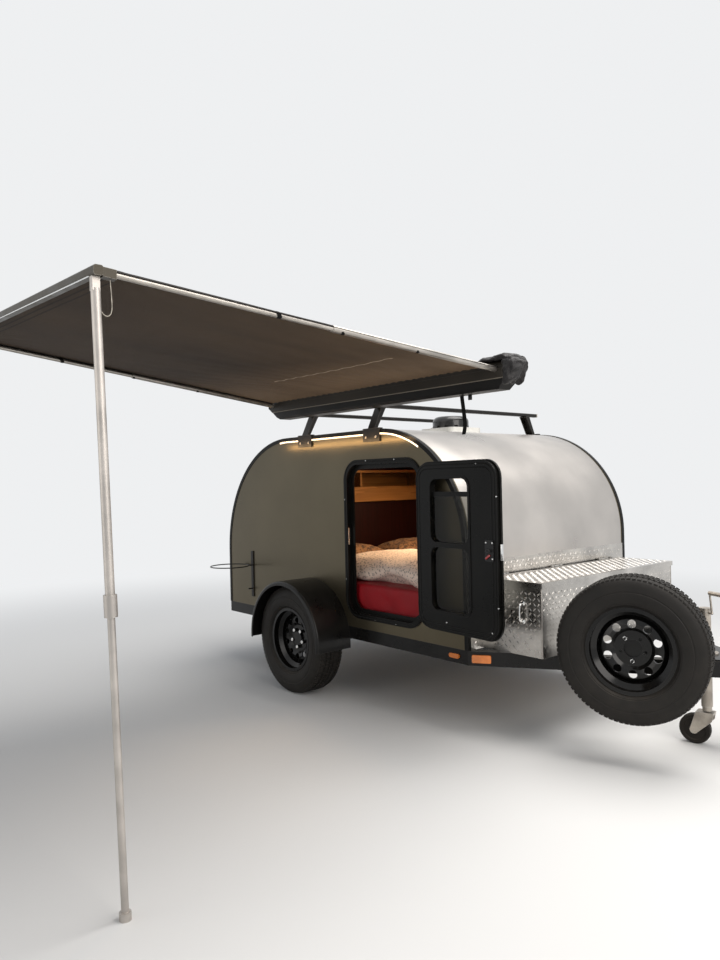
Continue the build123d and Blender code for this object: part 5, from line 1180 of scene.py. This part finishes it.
# %% Mattress in its red sheet
bed_low, bed_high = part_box("mattress")
bed = remeshed(copy_of("mattress"), 0.024)
push(bed, lambda place: -0.004)
puff(bed, 0.006, pressure=3.0)
finer(bed)
for point in bed.data.vertices:
    depth = (bed_high.z - point.co.z) / (bed_high.z - bed_low.z)
    side = max(0.0, 1 - (point.co.y - bed_low.y) / 0.04)
    pull = ridge((3.2 * point.co.x + 5.5 * point.co.z, 1.1 * point.co.x - 2 * point.co.z, 0.3), 0.4)
    wave = math.sin(9 * point.co.x + 7 * point.co.z + 3 * noise.noise(point.co * 4))
    point.co.y += 0.0055 * side * (pull * 1.1 + 0.6 * wave)
    point.co.z += 0.003 * (1 - side) * (depth < 0.3) * noise.noise(point.co * 7)
settle(bed, "red_mattress", "trailer", "red_sheet", 0)
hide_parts("mattress")

# %% [markdown]
# The blanket is thrown over the bed in a soft heap. Its near side is pushed into big folds, and its lower
# edge runs in and out in waves.

# %% Heaped blanket
quilt_low, quilt_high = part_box("blanket")
quilt = remeshed(copy_of("blanket"), 0.013)
size = quilt_high - quilt_low
for point in quilt.data.vertices:
    rel = Vector(((point.co.x - quilt_low.x) / size.x, (point.co.y - quilt_low.y) / size.y,
                  (point.co.z - quilt_low.z) / size.z))
    crown = math.sin(math.pi * min(1, max(0, rel.y * 1.15))) ** 0.35
    top = 0.80 + 0.16 * crown + 0.10 * noise.noise(Vector((3.2 * rel.x, 2.6 * rel.y, 0.7)))
    point.co.z = quilt_low.z + size.z * rel.z * min(1.0, top)
    near = max(0.0, 1 - rel.y * 6)
    bulge = math.sin(math.pi * rel.z) ** 0.7
    fold = math.sin(7.5 * rel.x + 1.4 * rel.z + 0.6)
    point.co.y += near * (0.045 * (1 - bulge) + 0.030 * (1 - fold))
    point.co.z += near * (1 - rel.z) * 0.026 * (1 + math.sin(13 * rel.x + 1.0))
quilt.data.update()
puff(quilt, 0.014)
finer(quilt)
push(quilt, lambda p: 0.0055 * ridge((p.x * 3.4 + p.z * 2, p.y * 2.6, p.z * 5), 2.2))
settle(quilt, "heaped_blanket", "trailer", "pale_blanket", 0)
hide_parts("blanket")

# %% [markdown]
# Two pillows lie side by side at the head of the bed. A pillow is full in the middle, pulled in along its
# sides and pointed at its corners, where creases run inwards.

# %% Pillows
head_low, head_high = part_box("pillows")


def pillow(name, centre, half, turn_degrees, seed):
    """A stuffed pillow with pointed corners and creases that run in from them."""
    bpy.ops.mesh.primitive_cube_add(size=2)
    form = bpy.context.object
    bpy.ops.object.mode_set(mode="EDIT")
    bpy.ops.mesh.subdivide(number_cuts=24)
    close()
    swing = Matrix.Rotation(math.radians(turn_degrees), 3, "Z")
    for point in form.data.vertices:
        u, v, w = point.co
        full = (max(0, 1 - abs(u) ** 2.4) * max(0, 1 - abs(v) ** 2.4)) ** 0.5
        x = u * (1 - 0.09 * (1 - v * v))
        y = v * (1 - 0.11 * (1 - u * u))
        z = w * max(0.035, full)
        point.co = centre + swing @ Vector((half.x * x, half.y * y, half.z * z))
    remeshed(form, 0.009)
    puff(form, 0.012, stiffness=8.0)
    finer(form)

    def creases(place):
        rel = swing.transposed() @ (place - centre)
        u, v = rel.x / half.x, rel.y / half.y
        spoke = math.sin(26 * math.atan2(v, u) + seed) * (abs(u) * abs(v)) ** 0.8
        return 0.0035 * spoke + 0.005 * ridge(place * 5, seed)

    push(form, creases)
    for point in form.data.vertices:
        point.co.x = min(max(point.co.x, head_low.x), head_high.x)
        point.co.z = min(max(point.co.z, head_low.z), head_high.z + 0.01)
    settle(form, name, "trailer", "tan_pillow", 0)
    return form


head_size = head_high - head_low
pillow_half = Vector((head_size.x / 2 - 0.012, 0.34, head_size.z / 2))
pillow_place = Vector(((head_low.x + head_high.x) / 2, MIDDLE, (head_low.z + head_high.z) / 2))
near_pillow = pillow("near_pillow", pillow_place - Vector((0, 0.36, 0)), pillow_half, 3, 0.7)
pillow("far_pillow", pillow_place + Vector((0, 0.36, 0)), pillow_half, -4, 2.9)
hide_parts("pillows")
print("soft goods done")

# %% [markdown]
# ## Fittings
#
# Small bright or black things tell the eye how big everything is: screws, catches, seals, caps. They sit
# on the solid parts, so a ray is sent at a part and the fitting goes where it lands.

# %% Rays
BESIDE_DOOR = -1.3
BETWEEN_LEAF_AND_WALL = -0.86
CORNER_STEPS = 6


def ray(name, start, direction):
    """Where a ray meets a part, and the direction of the face there. Nothing if it misses."""
    found, spot, normal, _ = nodes[name].ray_cast(start, Vector(direction))
    return (spot, normal) if found else None


def touch(x, z, *names):
    """What a ray that runs in from the right side, outside the open door, meets first of these parts."""
    hits = [ray(name, at(x, BESIDE_DOOR, z), (0, 1, 0)) for name in names]
    return min((hit for hit in hits if hit), key=lambda hit: hit[0].y)


def frame_spot(x, z):
    """A place on the outer face of the right door's frame, reached from between the leaf and the wall."""
    return ray("door_frames", at(x, BETWEEN_LEAF_AND_WALL, z), (0, 1, 0))[0]


def ring_points(centre, half, radius):
    """Points round a rectangle with round corners, in X and Z, back to the first."""
    points = []
    for quarter in range(4):
        turn = quarter * math.pi / 2
        sx, sz = (1, 1, -1, -1)[quarter], (1, -1, -1, 1)[quarter]
        corner_x = centre[0] + sx * (half[0] - radius)
        corner_z = centre[1] + sz * (half[1] - radius)
        for step in range(CORNER_STEPS + 1):
            angle = math.pi / 2 - turn - step * math.pi / 2 / CORNER_STEPS
            points.append((corner_x + radius * math.cos(angle), corner_z + radius * math.sin(angle)))
    return points + points[:1]


# %% [markdown]
# The doors close on rubber. Two beads run round the inner face of the open right leaf, and one round its
# frame. A bead is a rod bent along a ring of touched points. The left door is shut and hides its beads,
# so it gets none.

# %% Rubber beads
leaf_low, leaf_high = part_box("door_right")
door_low, door_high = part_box("door_frames")
leaf_centre = ((leaf_low.x + leaf_high.x) / 2 + 0.006 - REAR, (leaf_low.z + leaf_high.z) / 2)
LEAF_HALF = (0.309, 0.455)
LEAF_CORNER, FRAME_CORNER = 0.095, 0.10
beads = []
for inset, radius in ((0.020, 0.003), (0.040, 0.0025)):
    ring = ring_points(leaf_centre, (LEAF_HALF[0] - inset, LEAF_HALF[1] - inset), LEAF_CORNER - inset)
    beads.append(bent_rod([touch(x, z, "door_right")[0] for x, z in ring], radius, "bead", 3))
settle(gather(beads), "leaf_beads", "door_right_body", "black_trim")
frame_centre = ((door_low.x + door_high.x) / 2 - REAR, (door_low.z + door_high.z) / 2)
FRAME_HALF = ((door_high.x - door_low.x) / 2 - 0.013, (door_high.z - door_low.z) / 2 - 0.013)
ring = ring_points(frame_centre, FRAME_HALF, FRAME_CORNER)
bead = bent_rod([frame_spot(x, z) for x, z in ring], 0.003, "frame_bead", 3)
settle(bead, "frame_bead", "trailer", "black_trim")
print("beads round the door")

# %% [markdown]
# ## Screws, catches and the striker

# %% Screws and lever of the open leaf
poses = [facing(*touch(x, z, "door_right"), 25)
         for x, z in ((2.600, 1.440), (2.735, 1.274), (2.735, 0.727), (2.363, 0.607), (2.690, 0.600))]
screws("leaf_screws", "door_right_body", 0.0042, poses)
poses = [facing(*touch(x, z, "door_right", "door_latch_right"), 60)
         for x, z in ((2.664, 1.046), (2.706, 1.046), (2.706, 0.967))]
screws("latch_screws", "door_right_body", 0.0048, poses)
lever = block((-0.017, -0.0055, 0), (0.017, 0.0055, 0.007), 0.0025, 3)
lever.matrix_world = facing(touch(2.676, 0.975, "door_right", "door_latch_right")[0], (0, -1, 0), 35)
settle(lever, "release_lever", "door_right_body", "red_lens")

# %% Catch on the leaf's edge


def bright_plate(name, body, spot, half, rise, bevel):
    """An upright plate that stands a little proud of an edge that looks to the front."""
    plate = block(spot - Vector((0.002, *half)), spot + Vector((rise, *half)), bevel)
    settle(plate, name, body, "chrome", 35)


edge = ray("door_right", at(leaf_high.x - REAR + 0.3, -0.862, 1.0), (-1, 0, 0))[0]
bright_plate("leaf_edge_catch", "door_right_body", edge, (0.009, 0.040), 0.0012, 0.0009)

# %% Screws of the frame and striker on its edge
poses = [facing(frame_spot(x, z), (0, -1, 0), 40) for x, z in (
    (1.653, 1.487), (1.907, 1.487), (1.708, 0.527), (1.893, 0.527), (1.444, 1.25), (1.444, 0.75))]
screws("frame_screws", "trailer", 0.0042, poses)
edge = ray("door_frames", at(1.7, -0.774, 1.02), (-1, 0, 0))[0]
bright_plate("door_striker", "trailer", edge, (0.008, 0.053), 0.0010, 0.0008)
print("door hardware in place, striker at", [round(c, 3) for c in edge])

# %% [markdown]
# ## Roof rack
#
# Each foot is bolted through the roof edge with two hexagonal bolts, and a rounded cap closes the end of
# each bar.

# %% Bolts and caps
BAR_X = (1.030, 1.710)
BAR_Z, BAR_HALF = 1.822, 0.835
CAP_HALF = (0.0208, 0.0128)
BOLT_Z, BOLT_SHIFT = 1.628, 0.045
places, caps = [], []
for side in (-1, 1):
    low_y, high_y = sorted((side * (BAR_HALF - 0.006), side * (BAR_HALF + 0.005)))
    for bar_x in BAR_X:
        for shift in (-BOLT_SHIFT, BOLT_SHIFT):
            hit = ray("rack_feet", at(bar_x + shift, side * 1.2, BOLT_Z), (0, -side, 0))
            places.append(facing(*hit, 15))
        caps.append((at(bar_x - CAP_HALF[0], low_y, BAR_Z - CAP_HALF[1]),
                     at(bar_x + CAP_HALF[0], high_y, BAR_Z + CAP_HALF[1])))
settle(scatter(nut_master(0.008, 0.006), places), "rack_bolts", "trailer", "grey_steel", 30)
settle(gather([block(*corners, 0.004, 3) for corners in caps]), "rack_caps", "trailer", "grey_steel", 35)
print("rack bolts:", len(places), "caps:", len(caps))

# %% [markdown]
# ## Straps
#
# The bag's black webbing hangs loose from the case. A ribbon is a wire pulled sideways into a band, which
# is given its thickness. Webbing this stiff only sways a little, so no simulation is needed.

# %% Ribbon


def ribbon(points, across, thickness):
    """A flat band along points, as wide as the vector across."""
    trace(points)
    select_all()
    extrude(across)
    select_all()
    bpy.ops.mesh.normals_make_consistent(inside=False)
    band = close()
    wall = band.modifiers.new("thickness", "SOLIDIFY")
    wall.thickness = thickness
    wall.offset = 0
    apply_all(band)
    return band


# %% Loose strap and its buckle
STRAP_WIDTH, STRAP_THICKNESS = 0.022, 0.0014
LOOSE = [(2.486, 1.800), (2.489, 1.770), (2.494, 1.735), (2.499, 1.700), (2.503, 1.665), (2.504, 1.635),
         (2.500, 1.612), (2.493, 1.592)]
strap = ribbon([at(x, -0.852, z) for x, z in LOOSE], Vector((STRAP_WIDTH, 0.004, 0)), STRAP_THICKNESS)
settle(strap, "loose_strap", "trailer", "webbing", 60)
buckle = block(at(2.545, -0.858, 1.764), at(2.567, -0.848, 1.792), 0.003, 3)
settle(buckle, "bag_buckle", "trailer", "latch_black", 35)

# %% [markdown]
# ## Awning details
#
# A bright lip runs along the outer lower edge of the lead rail, where the cloth is clamped. Short bands of
# webbing tie the cloth's hems round the rafters.

# %% Lip of the lead rail
rail = nodes["awning_lead_rail"].data.vertices
rail_low, rail_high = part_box("awning_lead_rail")
outer = [v.co for v in rail if v.co.y < rail_low.y + 0.02]


def lip_end(x):
    """The lowest outer point of the rail near one of its ends."""
    near = [p for p in outer if abs(p.x - x) < 0.07]
    return Vector((x, rail_low.y + 0.003, min(p.z for p in near) + 0.004))


ends = [lip_end(rail_low.x + 0.045), lip_end(rail_high.x - 0.045)]
lip_rod = bent_rod([ends[0], (ends[0] + ends[1]) / 2, ends[1]], 0.0022, "lead_lip", 2)
settle(lip_rod, "lead_lip", "trailer", "chrome")

# %% Ties round the rafters
TIE_RADIUS, TIE_LIFT = 0.0118, 0.0115
RAFTER_START, RAFTER_REACH = 0.95, 1.87
ties = []
for rafter_x, shares in ((0.897, (0.3, 0.52, 0.74)), (2.800, (0.28, 0.5, 0.66))):
    for share in shares:
        start = at(rafter_x, -RAFTER_START - share * RAFTER_REACH, 1.5)
        middle = ray("awning_rafters", start, (0, 0, 1))[0] + Vector((0, 0, TIE_LIFT))
        bpy.ops.mesh.primitive_torus_add(
            major_segments=20, minor_segments=6, major_radius=TIE_RADIUS, minor_radius=0.0016,
            location=middle, rotation=(math.radians(95), 0, 0))
        bpy.ops.object.transform_apply()
        edit(bpy.context.object)
        select_all()
        bpy.ops.transform.resize(value=(1, 7, 1), center_override=middle)
        ties.append(close())
settle(gather(ties), "rafter_ties", "trailer", "webbing")
print("ties:", len(ties))

# %% Corner strips of the box
STRIP_REACH, STRIP_PROUD = 0.006, 0.0018
corners = []
for side in (-1, 1):
    low_y, high_y = sorted((side * (BOX_SIDE - 0.0048), side * (BOX_SIDE + STRIP_PROUD)))
    corners.append(block(at(BOX_FRONT - STRIP_REACH, low_y, 0.458),
                         at(BOX_FRONT + STRIP_PROUD, high_y, 0.806), 0.0012))
settle(gather(corners), "box_corners", "trailer", "brushed_skin", 35)

# %% Vent screws
vent_low, vent_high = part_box("vent_base")
vent_size = vent_high - vent_low
poses = []
for x in (0.06, 0.5, 0.94):
    for y in (0.06, 0.94):
        start = Vector((vent_low.x + x * vent_size.x, vent_low.y + y * vent_size.y, 2.2))
        poses.append(facing(*ray("vent_base", start, (0, 0, -1)), 30))
screws("vent_screws", "trailer", 0.005, poses)
print("fittings done")

# %% Finish
bpy.context.view_layer.update()
